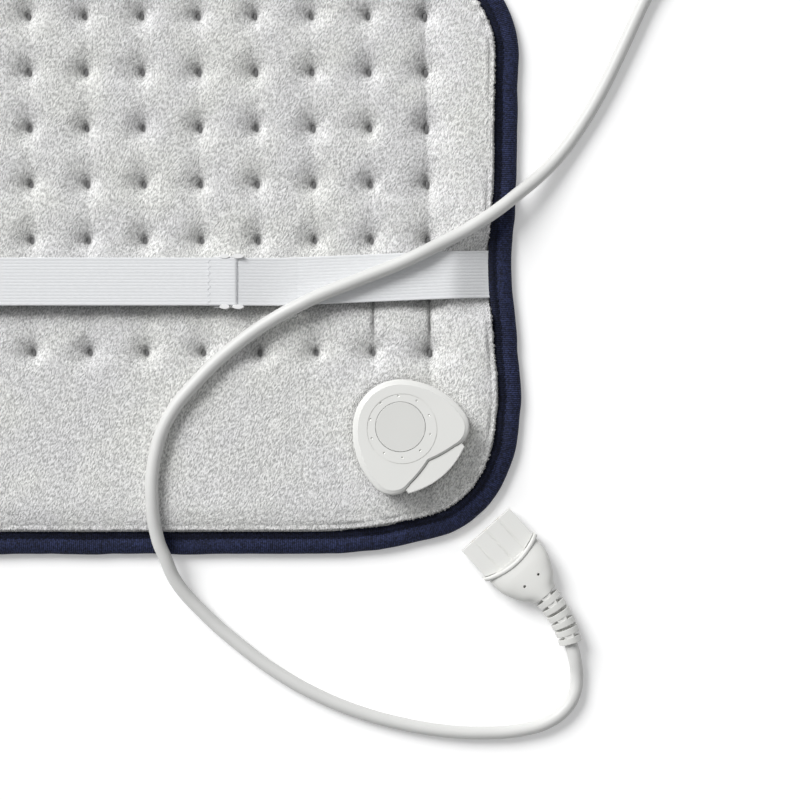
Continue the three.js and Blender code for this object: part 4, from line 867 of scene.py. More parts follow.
def strap_folds(x, y):
    """From 0 to 1: a thin fold from the strap down to the tuft below it in each of the last two columns."""
    x = x - tuft_shift(y)
    return bell(y - STRAP_Y + 20, 9.0) * sum(bell(x - column, 0.8) for column in TUFT_COLUMNS[:2])


def under_strap(y):
    """From 0 to 1: the valley along the row of tufts that the strap covers."""
    return bell(y - TUFT_ROWS[1], 9.0)


def column_creases(x, y):
    """Valleys from tuft to tuft down the columns, deepest in the last, and along the row under the strap."""
    first, last = TUFT_ROWS[0], TUFT_ROWS[-1]
    reach = smooth(y, first - CREASE_FADE, first) * (1 - smooth(y, last, last + CREASE_FADE))
    depth = strap_folds(x, y)
    x = x - tuft_shift(y)
    for i, column in enumerate(TUFT_COLUMNS):
        away = np.abs(x - column - 0.5 * np.sin(y / 9))
        fall = np.where((i == 0) & (x > column), MARGIN_FALL, CREASE_FALL)
        depth += reach * (CREASE if i else LAST_CREASE) * np.exp(-away / fall)
    across = 1 - smooth(np.abs(x), TUFT_COLUMNS[0], TUFT_COLUMNS[0] + CREASE_FADE)
    return depth + STRAP_VALLEY * across * under_strap(y)


def painted_tuft_shade(dx, dy):
    """Painted shade at a tack: most under it, some on its upper left, and painted light (less shade than
    usual) opposite.
    """
    side = 0.4 * np.maximum(upper_left_side(dx, dy), -0.3)
    return 0.75 * bell(dx, 1.6) * bell(dy, 2.9) + side * bell(np.hypot(dx, dy), PAINTED_SHADE_REACH)


def painted_plush_shading(x, y):
    """Painted shading, from 0 to 1: painted light in the last margin, painted shade beside the last column,
    at tacks, in folds and in the valley under the strap.
    """
    past = x - tuft_shift(y) - TUFT_COLUMNS[0]
    margin = smooth(past, -0.5, 1)
    beside = PAINTED_SHADE_BESIDE * np.exp(-np.abs(past) / 5) * (1 - margin)
    field = PAINTED_SHADE_FIELD * (1 - MARGIN_PAINTED_LIGHT * margin)
    tuft_shade = tufts(x, y, painted_tuft_shade)
    return field + beside + tuft_shade + PAINTED_SHADE_FOLDS * strap_folds(x, y) + PAINTED_SHADE_VALLEY * under_strap(y)


def strap_y(x):
    """The strap's middle line: level, then rising to its right end."""
    return STRAP_Y + STRAP_SLOPE * np.maximum(x - HALF_WIDTH + STRAP_BEND, 0)


def strap_floor(x):
    """Height of the plush under the strap's two sunk ends."""
    return np.interp(HALF_WIDTH - np.abs(x), [RAMP_START, RAMP_END], [STRAP_TUCK - 1.4, CROWN])


def socket_polar(angle):
    """Reach of the socket's outline from its middle, by angle in its own frame."""
    outline = socket_outline(0)
    around = np.arctan2(outline[:, 1], outline[:, 0])
    order = np.argsort(around)
    return np.interp(angle, around[order], np.hypot(*outline.T)[order], period=2 * pi)


def socket_inset(x, y):
    """How far a point lies inside the socket's outline, along the line to its middle."""
    turn = radians(SOCKET_TURN)
    dx, dy = x - SOCKET_X, y - SOCKET_Y
    u = dx * cos(turn) + dy * sin(turn)
    v = dy * cos(turn) - dx * sin(turn)
    return socket_polar(np.arctan2(v, u)) - np.hypot(u, v)


def lattice(first, pitch, reach, cells, gather):
    """Steps past both edges of the pad, a whole number of cells between tufts, gathered towards the tufts."""
    step = pitch / cells
    turns = np.arange(floor((-reach - first) / step), ceil((reach - first) / step) + 1) / cells
    return first + pitch * (turns - gather * np.sin(2 * pi * turns) / (2 * pi))


def pad_lattice(cells, gather=0.0):
    """Columns and rows of a grid over the pad, and its points, which lean with the tufts."""
    columns = lattice(TUFT_COLUMNS[0], TUFT_PITCH_X, HALF_WIDTH + 2 * TUFT_REACH, cells, gather)
    rows = lattice(TUFT_ROWS[0], TUFT_PITCH_Y, HALF_DEPTH, cells, gather)
    x, y = np.meshgrid(columns, rows)
    return columns, rows, x + tuft_shift(y), y


def lattice_cells(shape):
    """The square faces of a grid of points."""
    number = np.arange(shape[0] * shape[1]).reshape(shape)
    return np.stack([number[:-1, :-1], number[:-1, 1:], number[1:, 1:], number[1:, :-1]], -1)


BINDING_RUNS = [
    # side, where along it, how far out, over what length
    ("right", strap_y(HALF_WIDTH) + 6, -2.9, 28),
    ("right", -79, 2.1, 21),
    ("right", 105, 0.9, 30),
    ("left", STRAP_Y, -2.8, 28),
    ("bottom", 146, -4.6, 27),
]


def edge_run(x, y):
    """How far out the sewn edge runs near a point: drawn in at the strap and beside the socket."""
    sides = {"right": (x > HALF_WIDTH - 40, y), "left": (x < 40 - HALF_WIDTH, y), "bottom": (y < 0, x)}
    shift = np.zeros_like(x)
    for side, place, out, length in BINDING_RUNS:
        on_side, along = sides[side]
        shift += out * bell(along - place, length) * on_side
    return shift


def rim_inset(x, y):
    return inset_of(x, y) + edge_run(x, y)


def slack_height(x, y):
    """The quilted top before it swells: a roll up from the rim, a slow rise and a hollow at each tuft."""
    inset = rim_inset(x, y) - ROLL_START
    roll, settle = (np.sin(np.clip(inset / width, 0, 1) * pi / 2) for width in (ROLL_WIDTH, SETTLE_WIDTH))
    rise = between(settle, roll, ROLL_SHARE) * (CROWN - SLACK - COVER_EDGE_TOP)
    return COVER_EDGE_TOP + rise - TUFT_DROP * tufts(x, y, pointed_hollow)


CLOTH = {"quality": 5, "mass": 0.3, "shrink_min": -0.0015, "vertex_group_mass": "held"}
CLOTH |= {"tension_stiffness": 15, "compression_stiffness": 15, "bending_stiffness": 3}
CLOTH |= {"use_pressure": True, "uniform_pressure_force": 150}


def swell(x, y, height):
    """Heights of the sheet after it is blown up as cloth, held at its rim and its tufts."""
    held = (rim_inset(x, y) < ROLL_START + 2 * ROLL_WIDTH) | (tufts(x, y, pointed_hollow) > 0.95)
    points = np.stack([x, y, height], -1).reshape(-1, 3)
    made = shown("swell", mesh_of("swell", (points, lattice_cells(x.shape).reshape(-1, 4).tolist())))
    made.vertex_groups.new(name="held").add(np.flatnonzero(held).tolist(), 1.0, "REPLACE")
    cloth = made.modifiers.new("cloth", "CLOTH").settings
    for name, value in CLOTH.items():
        setattr(cloth, name, value)
    cloth.effector_weights.gravity = 0
    for moment in range(SWELL_FRAMES):
        SCENE.frame_set(moment + 1)
    ready = made.evaluated_get(bpy.context.evaluated_depsgraph_get())
    after = np.empty(3 * x.size)
    ready.data.vertices.foreach_get("co", after)
    bpy.data.objects.remove(made)
    SCENE.frame_set(1)
    rise = after[2::3].reshape(x.shape) / MM - height
    return height + np.clip(rise, -SWELL_LIMIT / 2, SWELL_LIMIT)


def cubic_share(t):
    t = np.abs(t)
    return np.where(t < 1, 1.5 * t**3 - 2.5 * t**2 + 1, -0.5 * t**3 + 2.5 * t**2 - 4 * t + 2)


def cubic(columns, rows, grid, x, y):
    """Smooth values between the points of an even grid."""
    u = (x - columns[0]) / (columns[1] - columns[0])
    v = (y - rows[0]) / (rows[1] - rows[0])
    i, j = np.floor(u).astype(int), np.floor(v).astype(int)
    total = np.zeros_like(x)
    for a in range(-1, 3):
        for b in range(-1, 3):
            value = grid[np.clip(j + b, 0, len(rows) - 1), np.clip(i + a, 0, len(columns) - 1)]
            total += value * cubic_share(u - i - a) * cubic_share(v - j - b)
    return total


def quilted_top():
    columns, rows, x, y = pad_lattice(SWELL_CELLS)
    height = slack_height(x, y)
    return columns, rows, swell(x, y, height)


def plush_height(x, y):
    """The swollen top with its sewn hollows and creases, pressed down under the strap and the socket."""
    inside = smooth(rim_inset(x, y), ROLL_START, ROLL_START + SETTLE_WIDTH)
    height = cubic(*QUILT, x - tuft_shift(y), y)
    height -= tufts(x, y, sewn_hollow) + column_creases(x, y)
    height += inside * ripples(x, y, PLUSH_SWELLS) + ripples(x, y, PLUSH_NAP)
    height = np.clip(height, 0, CROWN + GAP / 2)
    height = np.where(inside > 0.5, np.maximum(height, PLUSH_FLOOR), height)
    trench = smooth(np.abs(y - strap_y(x)), STRAP_WIDTH / 2 + TRENCH_SIDE, STRAP_WIDTH / 2)
    height = height + np.minimum(strap_floor(x) - height, 0) * trench
    under = smooth(socket_inset(x, y), -3, 0.4)
    return height + np.minimum(SOCKET_Z - SOCKET_SINK - height, 0) * under


def sheet_grid(cells, kept, gather=0.0):
    """A flat grid inside the covers' outline, its stepped rim in the binding: points and square cells."""
    _, _, x, y = pad_lattice(cells, gather)
    inside = (rim_inset(x, y) >= COVER_INSET) & kept(x, y)
    cells = lattice_cells(x.shape)
    used, faces = np.unique(cells[inside.ravel()[cells].all(-1)], return_inverse=True)
    return x.ravel()[used], y.ravel()[used], faces.reshape(-1, 4)


def sheet_piece(name, x, y, z, faces, material, node, slot):
    return piece(name, (np.stack([x, y, z], 1), faces.tolist()), material, [node], slot=slot, sharp=180)


def thickened(made, thickness, shares=()):
    """Gives a sheet its thickness under the faces, or a share of it at each point."""
    sheet = made.modifiers.new("thickness", "SOLIDIFY")
    sheet.thickness = thickness * MM
    sheet.offset = -1
    if len(shares):
        group = made.vertex_groups.new(name="loft")
        sheet.vertex_group = group.name
        for i, share in enumerate(shares):
            group.add([i], share, "REPLACE")


def keep_painted_shading(made, x, y):
    """The painted shade and light at each point go with the mesh, for its paint."""
    made.data.attributes.new("painted_shading", "FLOAT", "POINT").data.foreach_set("value", painted_plush_shading(x, y))


def make_plush():
    """The plush, pressed thin where its tufts reach down to the wadding."""
    x, y, faces = sheet_grid(2 * SWELL_CELLS, lambda x, y: socket_inset(x, y) < 5, gather=0.5)
    height = plush_height(x, y)
    made = sheet_piece("plush_cover", x, y, height, faces, PLUSH, "top_cover", "plush")
    keep_painted_shading(made, x, y)
    thickened(made, PLUSH_SHEET, np.clip((height - PLUSH_FLOOR) / 2 / PLUSH_SHEET, 0.2, 1))


def make_wadding():
    """The wadding under the plush, pressed thin at the tufts."""
    x, y, faces = sheet_grid(SWELL_CELLS, lambda x, y: inset_of(x, y) > WADDING_INSET, gather=0.5)
    top = np.clip(plush_height(x, y) - PLUSH_SHEET - GAP, WADDING_LOW + 0.2, WADDING_TOP)
    made = sheet_piece("upper_wadding_sheet", x, y, top, faces, LINING, "upper_wadding", "lining")
    thickened(made, WADDING_TOP - WADDING_LOW, (top - WADDING_LOW) / (WADDING_TOP - WADDING_LOW))


def make_lining():
    """The bottom cover: flat, drawn up a little at the tufts and into the binding."""
    x, y, faces = sheet_grid(12, lambda x, y: x < HALF_WIDTH)
    lift = LINING_LIFT * (1 - smooth(rim_inset(x, y), RAMP_START, RAMP_START + LINING_RAMP))
    level = lift + LINING_DRAW * tufts(x, y, pointed_hollow)
    made = sheet_piece("bottom_lining", x, y, level, faces[:, ::-1], LINING, "bottom_cover", "lining")
    thickened(made, LINING_SHEET)


# Binding

# Insets from the outline and heights, round the binding's section
BINDING_UNDER = [(12.5, 0.05), (6.0, 0.0), (2.0, 0.0), (0.9, 0.3), (0.25, 1.1)]
BINDING_ROLL = [(0.0, 2.3), (0.1, 3.8), (0.7, 5.1), (1.8, 6.1), (3.4, 6.75), (5.2, 6.85), (6.8, 6.55)]
BINDING_SEAM = [(7.8, 5.75), (GROOVE_INSET, 5.4), (9.0, 5.75), (9.9, 6.4), (11.0, 6.5), (12.1, 6.25)]
BINDING_LIP = [(12.6, 5.8), (12.5, 5.4), (12.0, 5.35), (GROOVE_INSET, 5.1)]
BINDING_INSIDE = [(3.0, 5.3), (1.7, 4.6), (1.4, 3.2), (1.7, 1.7), (3.0, 1.05), (12.0, 1.0)]
BINDING_PROFILE = BINDING_UNDER + BINDING_ROLL + BINDING_SEAM + BINDING_LIP + BINDING_INSIDE
BINDING_STEPS = 900
PAINTED_SHADE_ROWS = 6
FRINGE_FOOT = 15.6
FRINGE_EDGE = 12.6
FRINGE_BEND = FRINGE_EDGE + 1.2
FRINGE_TIPS = 0.6
FRINGE_PROFILE = [
    # inset from the outline, depth under the plush at the fringe's foot
    (FRINGE_FOOT + 2, 0.1),
    (FRINGE_FOOT, 0.8),
    (FRINGE_BEND, 0.8),
    (FRINGE_EDGE, 0.62),
    (FRINGE_BEND, 0.36),
    (FRINGE_FOOT, 0.02),
]


def spaced(path, places):
    """Points of a flat path at the places that its whole length gives, and those places."""
    length = np.concatenate([[0], np.cumsum(np.hypot(*np.diff(path, axis=0).T))])
    along = places(length[-1])
    return np.stack([np.interp(along, length, path[:, i]) for i in (0, 1)], 1), along


def pad_path(count, steps=40):
    """Even points round the pad's outline from the middle of its left side, outward directions, places."""
    ring = rounded_ring(2 * HALF_WIDTH, 2 * HALF_DEPTH, CORNER_RADIUS, steps=steps)
    ring = np.roll(ring, -2 * steps, 0)
    closed = np.vstack([ring, ring[:1]])
    path, along = spaced(closed, lambda whole: np.linspace(0, whole, count, endpoint=False))
    ahead = np.roll(path, -1, 0) - np.roll(path, 1, 0)
    ahead /= np.hypot(*ahead.T)[:, None]
    return path, np.stack([ahead[:, 1], -ahead[:, 0]], 1), along


def drawn_in(path, outward, distance):
    return path - outward * np.asarray(distance)[:, None]


def make_binding():
    path, outward, along = pad_path(BINDING_STEPS)
    x, y = path.T
    shift = edge_run(x, y) + ripples(x, y, BINDING_WAVES)
    shape = loft([at_height(drawn_in(path, outward, i - shift), z) for i, z in BINDING_PROFILE], closed=True)
    made = piece("binding_tape", shape, BINDING, ["edge_binding"], slot="binding", sharp=180)
    # The inner strip, from the groove in, gets the darker copy: painted shade where the plush's edge shades
    # it
    made.data.materials.append(BINDING_PAINTED_SHADE)
    groove = [inset for inset, _ in BINDING_PROFILE].index(GROOVE_INSET)
    for face in made.data.polygons[groove * BINDING_STEPS : (groove + PAINTED_SHADE_ROWS) * BINDING_STEPS]:
        face.material_index = 1
    rows = len(BINDING_PROFILE)
    lay_uv(made.data, np.tile(along, rows), np.repeat(np.arange(rows), BINDING_STEPS))
    make_stitches(drawn_in(path, outward, GROOVE_INSET - shift))


def make_fringe():
    """The pile that leans out over the inner edge of the binding: a thin band with ragged tips."""
    path, outward, _ = pad_path(2 * BINDING_STEPS)
    shift = edge_run(*path.T)
    level = plush_height(*drawn_in(path, outward, FRINGE_FOOT - shift).T)
    ragged = FRINGE_TIPS * np.random.default_rng(21).uniform(-1, 1, len(path))
    rings = []
    for inset, drop in FRINGE_PROFILE:
        tips = ragged if inset == FRINGE_EDGE else 0
        rings.append(np.column_stack([drawn_in(path, outward, inset - tips - shift), level - drop]))
    shape = loft(rings, closed=True)
    made = piece("plush_fringe", shape, PLUSH, slot="plush", sharp=180)
    keep_painted_shading(made, *shape[0].T[:2])


def lay_uv(mesh, along, across):
    """Texture coordinates in metres along the piece and in steps across it."""
    layer = mesh.uv_layers.new(name="UVMap")
    corner = np.zeros(len(mesh.loops), np.int32)
    mesh.loops.foreach_get("vertex_index", corner)
    values = np.stack([along, across], 1)[corner] * MM
    layer.data.foreach_set("uv", values.astype(np.float32).ravel())


def make_stitches(line):
    """One row of short stitches in the binding's groove."""
    heights = [5.3, 5.6, 5.7, 5.6, 5.3]
    radii = [0.18, 0.3, 0.34, 0.3, 0.18]
    stitches = []
    for start, end in zip(line[::2], line[1::2]):
        ends = [between(start, end, part) for part in (-0.1, 0.1, 0.5, 1.1, 1.3)]
        stitches.append(sweep_tube(np.column_stack([ends, heights]), radii, 6))
    piece("binding_stitches", merge(*stitches), THREAD, slot="binding", sharp=180)


def make_tacks():
    """A bar tack at each tuft: three threads side by side, bent down at their ends."""
    y = [-2.3, -2.0, -1.0, 0.0, 1.0, 2.0, 2.3]
    z = [-0.7, -0.1, 0.15, 0.2, 0.15, -0.1, -0.7]
    tack = merge(*[sweep_tube(np.stack([np.full(7, x), y, z], 1), 0.34, 6) for x in (-0.5, 0.0, 0.5)])
    tacks = []
    for tx, ty in TUFTS:
        if abs(ty - STRAP_Y) >= STRAP_WIDTH / 2:
            x = tx + tuft_shift(ty)
            level = plush_height(np.array([x]), np.array([ty]))[0] + 0.35
            tacks.append(moved(tack, (x, ty, level)))
    piece("tuft_tacks", merge(*tacks), TACK, slot="lining", sharp=180)


# Strap


def band_section(share=1.0):
    """Across the elastic: offsets from its middle line, ribbed on both faces, with a firmer edge cord."""
    y = np.linspace(-STRAP_WIDTH / 2, STRAP_WIDTH / 2, 8 * RIBS + 1)
    rib = np.abs(np.sin((y / STRAP_WIDTH + 0.5) * pi * RIBS)) ** 0.6
    half = 0.44 * share + 0.09 * rib + 0.07 * bell(np.abs(y) - STRAP_WIDTH / 2 + 0.8, 0.7)
    half[[0, -1]] = 0.12 * share
    return np.concatenate([y, y[::-1]]), np.concatenate([half, -half[::-1]])


def ribbon(path, end_share=1.0):
    """The elastic along a path of X and Z in the strap's upright middle plane, thinned towards its end."""
    path = np.asarray(path, float)
    ahead = np.gradient(path, axis=0)
    ahead /= np.hypot(*ahead.T)[:, None]
    rings = []
    for (x, z), (dx, dz), share in zip(path, ahead, np.linspace(1, end_share, len(path))):
        across, offset = band_section(share)
        rings.append(np.stack([x - dz * offset, strap_y(x) + across, z + dx * offset], 1))
    return loft(rings)


def elastic_piece(name, shape, nodes=(), body=PAD_BODY, sharp=60):
    return piece(name, shape, ELASTIC, nodes, body=body, slot="elastic", sharp=sharp)


def rounded_path(corners, step, radius):
    """Even points along straight runs whose corners are rounded."""
    corners = np.array(corners, float)
    path = [corners[:1]]
    for before, corner, after in zip(corners, corners[1:], corners[2:]):
        path.append(bent(beyond(corner, before, -radius), corner, beyond(corner, after, -radius), 9))
    path = np.vstack([*path, corners[-1:]])
    return spaced(path, lambda whole: np.linspace(0, whole, max(2, int(whole / step))))[0]


def strap_end(side, stop):
    """A sunk end of the strap, from the binding up its ramp and along the pad to a stop."""
    corners = [
        (side * (HALF_WIDTH - 4), STRAP_TUCK),
        (side * (HALF_WIDTH - RAMP_START), STRAP_TUCK),
        (side * (HALF_WIDTH - RAMP_END), BAND_MIDDLE),
        (stop, BAND_MIDDLE),
    ]
    return rounded_path(corners, 2.0, 4.0)


def make_strap():
    turn = arc(RING_X, RING_Z, WRAP, -pi / 2, -3 * pi / 2, 16)
    elastic_piece("strap_running_band", ribbon(np.vstack([strap_end(1, RING_X), turn[1:]])), ["strap_band"])
    tab_turn = arc(TAB_X, RING_Z, WRAP, -pi / 2, pi / 2, 14)
    stitched = rounded_path([(TAB_X, RETURN_MIDDLE), (TAB_X - 9, BAND_MIDDLE + 1.5)], 1.5, 1.0)
    tab = ribbon(np.vstack([strap_end(-1, TAB_X), tab_turn[1:], stitched[1:]]))
    make_return(tab)


def make_return(tab):
    """The return band, looped over the slider and sewn to itself, then the tab, the seam and the rise."""
    start = RING_X + GAP
    fold = SLIDER_X + 3.2
    seam = SLIDER_X - 10
    inner = (RETURN_MIDDLE - EYE_MIDDLE) / 2
    loop = arc(fold, EYE_MIDDLE + inner, inner, pi / 2, -pi / 2, 14)
    upper = rounded_path([(start, RETURN_MIDDLE), (fold, RETURN_MIDDLE)], 2.0, 1.0)
    under = rounded_path([(fold, EYE_MIDDLE), (seam + 4, EYE_MIDDLE), (seam + 1, EYE_MIDDLE + 1.8)], 1.5, 1.0)
    shape = ribbon(np.vstack([upper, loop[1:], under[1:]]))
    back = elastic_piece("strap_return_band", shape, ["strap_return"], body=None)
    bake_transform(back)
    elastic_piece("ring_tab_loop", tab, ["ring_tab"], sharp=38)
    make_seam(seam)
    make_rise(fold + inner + STRAP / 2 - 0.1)


def make_seam(x):
    """A zigzag row of stitches across the return band, riding with the slider."""
    count = 14
    y = STRAP_Y + np.linspace(-STRAP_WIDTH / 2 + 1, STRAP_WIDTH / 2 - 1, count)
    zigzag = x + 0.8 * (np.arange(count) % 2 * 2 - 1)
    level = np.full(count, RETURN_MIDDLE + STRAP / 2 - 0.05)
    thread = sweep_tube(np.stack([zigzag, y, level], 1), 0.16, 6)
    elastic_piece("return_seam", thread, body="strap_slider", sharp=180)


def make_rise(start):
    """The running band where it comes up to the fold and runs down to the band's level."""
    low, high = BAND_MIDDLE + STRAP / 2 - 0.1, RETURN_MIDDLE - 0.9
    along = np.linspace(0, 1, 20)
    path = np.stack([start + RISE_LENGTH * along, between(low, high, (1 - along) ** RISE_POWER)], 1)
    rise = elastic_piece("strap_rise", ribbon(path, end_share=0.1), body=None)
    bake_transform(rise)


SLIDER_LOBES = [(-1.8, 2.6), (5.2, 3.0)]
LOBE_COVER = 0.8
BAR = 2
BAR_HEIGHT = 1.4


def oval_slab(points, reach, depth, profile):
    return outline_slab(lambda inset: points * (reach - inset, depth - inset), profile)


def slider_shape():
    """A middle bar in the fold, two end bars under the band, and two round lobes past each strap edge."""
    low, high = box_mm("strap_slider")
    half = (high - low) / 2
    inner = STRAP_WIDTH / 2 + GAP
    depth = half[1] - inner
    top = RETURN_MIDDLE + STRAP / 2
    cover = (depth + LOBE_COVER) / 2
    ends = [(-half[0], BAR - half[0], low[2]), (half[0] - BAR, half[0], low[2])]
    bars = [(-BAR, BAR, high[2] - BAR_HEIGHT), *ends]
    parts = [block((x0, -inner - 0.5, z), (x1, inner + 0.5, z + BAR_HEIGHT), 0.4) for x0, x1, z in bars]
    for side in (-1, 1):
        edges = sorted((side * inner, side * (inner + 0.7)))
        parts.append(block((-half[0], edges[0], low[2]), (half[0], edges[1], BAND_MIDDLE), 0.3))
        for x, reach in SLIDER_LOBES:
            lobe = oval_slab(side * arc(0, 0, 1, 0, pi, 17), reach, depth, slab_profile(low[2], top, 0.3))
            head = oval_slab(circle(32), reach, cover, slab_profile(top + 0.06, top + 0.4, 0.15))
            parts.append(moved(lobe, (x, side * inner, 0)))
            parts.append(moved(head, (x, side * (half[1] - cover), 0)))
    return merge(*parts)


def make_slider():
    shape = moved(slider_shape(), (SLIDER_X, STRAP_Y, 0))
    piece("strap_slider_frame", shape, NYLON, ["strap_slider"], body="strap_slider", slot="shell", sharp=50)


def make_ring():
    radius = WRAP - STRAP / 2 - GAP
    width, depth, _ = size_mm("strap_ring") - 2 * radius
    path = rounded_ring(width, depth, 3.0, steps=8) + middle_mm("strap_ring")[:2]
    shape = sweep_tube(at_height(path, RING_Z), radius, 16, closed=True)
    piece("strap_ring_bar", shape, SHELL, ["strap_ring"], slot="shell", sharp=180)


# Socket

SOCKET_RADIUS = 24.6
SIDE_RADIUS = 42
SIDE_ANGLE = radians(138)
SHOULDER_REACH = 24
SHOULDER_ANGLE = radians(50)
HOUSING_Z = 2.3
HOUSING_TOP = 12.6
CAP_Z = HOUSING_TOP + GAP
CAP_TOP = CAP_Z + 2.7
CAP_CUSP = 23.0
CUSP_BOW = 2.4
CAP_SPREAD = -0.3
CAP_DRAW = 0.9
CAP_FRONT_EDGE = 0.45
# Insets from the outline and depths under the cap's top: a round shoulder and a low step
CAP_SHOULDER = [(0.0, 1.7), (0.12, 1.35), (0.45, 1.0), (1.0, 0.72)]
CAP_STEP = [(2.2, 0.36), (2.42, 0.2), (2.6, 0.06), (2.8, 0)]
DISC_RADIUS = 12.9
DISC_EDGE = [(0.3, 1), (0, 0.8), (0, 0.25), (0.1, 0.08), (0.35, 0)]
RING_GROOVE = 18.1
RING_HALF = 0.16
RING_SHIFT = 1.4
DOT_RING = 16.0
DOTS = 10
LIP_REACH = 33.8
LIP_BULGE = 4.4
LIP_TOP = CAP_TOP - 1.2
LIP_WALL = 1.8
SLOT_HALF = 17.2
SLOT_Z = (3.6, 11.3)
SLOT_BACK = 8.8
PIN_PLACES = (-8.4, 0.0, 8.4)
SMOOTH_TURN = 96


def socket_arcs(inset, spread, front=0.0):
    """A round back, two full sides and two shoulders, open at the slot, where front draws them in."""
    x, y = SHOULDER_REACH * cos(SHOULDER_ANGLE), SHOULDER_REACH * sin(SHOULDER_ANGLE)
    back = SIDE_RADIUS - SOCKET_RADIUS
    side_x, side_y = -back * cos(SIDE_ANGLE), -back * sin(SIDE_ANGLE)
    tangent = atan2(y - side_y, x - side_x)
    shoulder = SIDE_RADIUS - hypot(x - side_x, y - side_y)
    half = np.concatenate(
        [
            arc(x, y, shoulder - inset - np.linspace(front, 0, 30), spread, tangent, 30),
            arc(side_x, side_y, SIDE_RADIUS - inset, tangent, SIDE_ANGLE, 20)[1:],
            arc(0, 0, SOCKET_RADIUS - inset, SIDE_ANGLE, pi, 20)[1:],
        ]
    )
    return np.concatenate([half, half[-2::-1] * (1, -1)])


def socket_outline(inset):
    return socket_arcs(inset, 0)


def heart_outline(inset, grow=0.0):
    """The cap's outline: the socket's, with its front drawn in to a soft cusp and a narrower edge there."""
    arcs = socket_arcs(inset - grow, CAP_SPREAD, CAP_DRAW - (1 - CAP_FRONT_EDGE) * inset)
    tip = arcs[-1]
    cusp = CAP_CUSP - CAP_FRONT_EDGE * inset + grow
    lower = bent(tip, (cusp + CUSP_BOW, tip[1] / 2), (cusp, 0), 20)
    return np.concatenate([arcs, lower[1:], lower[-2:0:-1] * (1, -1)])


def bowed_outline(start, end, half, bulge, count):
    """A rectangle whose far end bows out."""
    bow = bent((end, -half), (end + 2 * bulge, 0), (end, half), count)
    return np.concatenate([[(start, -half)], bow, [(start, half)]])


def lip_outline(inset):
    half = SLOT_HALF + LIP_WALL - inset
    return bowed_outline(SLOT_BACK + 5, LIP_REACH - LIP_BULGE - inset, half, LIP_BULGE, 25)


def cap_shape():
    """A cap with a soft edge, a thin ring groove, a ring of dots and a pocket for the disc."""
    edge = [(0.3, CAP_Z), (0.0, CAP_Z + 0.3)]
    edge += [(inset, CAP_TOP - depth) for inset, depth in CAP_SHOULDER + CAP_STEP]
    inner, outer = RING_GROOVE - RING_HALF, RING_GROOVE + RING_HALF
    low, above = CAP_TOP - 0.35, CAP_TOP + 1
    groove = revolve([(inner, low), (outer, low), (outer, above), (inner, above)], SMOOTH_TURN, closed=True)
    pocket = rod(DISC_RADIUS + 0.2, CAP_TOP - 1.3, above, SMOOTH_TURN)
    dent = revolve([(0.3, CAP_TOP - 0.6), (0.75, CAP_TOP + 0.1)], 16)
    dents = [moved(dent, (x, y, 0)) for x, y in DOT_RING * circle(DOTS)]
    return carved(outline_slab(heart_outline, edge), moved(groove, (RING_SHIFT, 0, 0)), pocket, *dents)


def housing_shape():
    """The socket's body with the lip of its slot, cut out for the cap, the plug's nose and the contacts."""
    body = outline_slab(socket_outline, slab_profile(HOUSING_Z, HOUSING_TOP, 0.5))
    cap_room = outline_slab(lambda inset: heart_outline(inset, GAP), [(0, HOUSING_TOP), (0, CAP_TOP + 1)])
    lip = carved(outline_slab(lip_outline, slab_profile(HOUSING_Z, LIP_TOP, 0.6)), cap_room)
    low, high = SLOT_Z
    slot = block((SLOT_BACK, -SLOT_HALF, low), (LIP_REACH + 9, SLOT_HALF, high), 1.2)
    pocket = block((SLOT_BACK - 6, 3 - SLOT_HALF, low), (SLOT_BACK + 1, SLOT_HALF - 3, high), 0.1)
    return carved(carved(body, lip, operation="UNION"), slot, pocket)


def make_socket():
    base = outline_slab(lambda inset: socket_outline(inset + 0.8), slab_profile(0, 2, 0.5))
    disc = revolve([(DISC_RADIUS - inset, CAP_TOP - depth) for inset, depth in DISC_EDGE], SMOOTH_TURN)
    place = {"place": SOCKET_PLACE, "slot": "shell"}
    piece("socket_base_plate", base, SHELL, ["socket_base"], **place)
    piece("socket_slot_housing", housing_shape(), CAP, ["socket_housing"], **place)
    piece("socket_heart_cap", cap_shape(), CAP, ["socket_cap"], **place)
    piece("socket_blank_disc", disc, SHELL, ["socket_disc"], **place)


# Plug

NOSE_LENGTH = 18.2
NOSE_HALF = 16.8
NOSE_HEIGHT = 6.6
COLLAR_START = NOSE_LENGTH + GAP
COLLAR_BULGE = 3.75
COLLAR_HALF = NOSE_HALF + 1.4
COLLAR_WIDTH = 2.6
COLLAR_HEIGHT = 5.8
GRIP_LENGTH = PLUG_LENGTH - COLLAR_START
GRIP_KNOTS = np.array(
    [
        # share of the length, half width, half height, squareness
        (0.03, NOSE_HALF - 0.3, PLUG_NECK * 0.66, 4.0),
        (0.25, NOSE_HALF - 0.1, PLUG_NECK * 0.78, 3.7),
        (0.43, NOSE_HALF - 0.7, PLUG_NECK * 0.88, 3.3),
        (0.62, NOSE_HALF * 0.835, PLUG_NECK * 0.95, 2.8),
        (0.79, NOSE_HALF * 0.68, PLUG_NECK * 0.99, 2.5),
        (0.92, NOSE_HALF * 0.5, PLUG_NECK, 2.2),
        (1.0, PLUG_NECK + 0.4, PLUG_NECK, 2.0),
    ]
)
DIMPLE_Y = 4.8
DIMPLE_SHARE = 0.61
RELIEF_GROOVES = 6
RELIEF_PITCH = RELIEF_LENGTH / RELIEF_GROOVES
RELIEF_SLOT = 1.5
RELIEF_EDGE = 0.3
ACROSS_WEBS = (2, 4)


def collar_bow(y):
    return COLLAR_BULGE * (1 - (y / NOSE_HALF) ** 2)


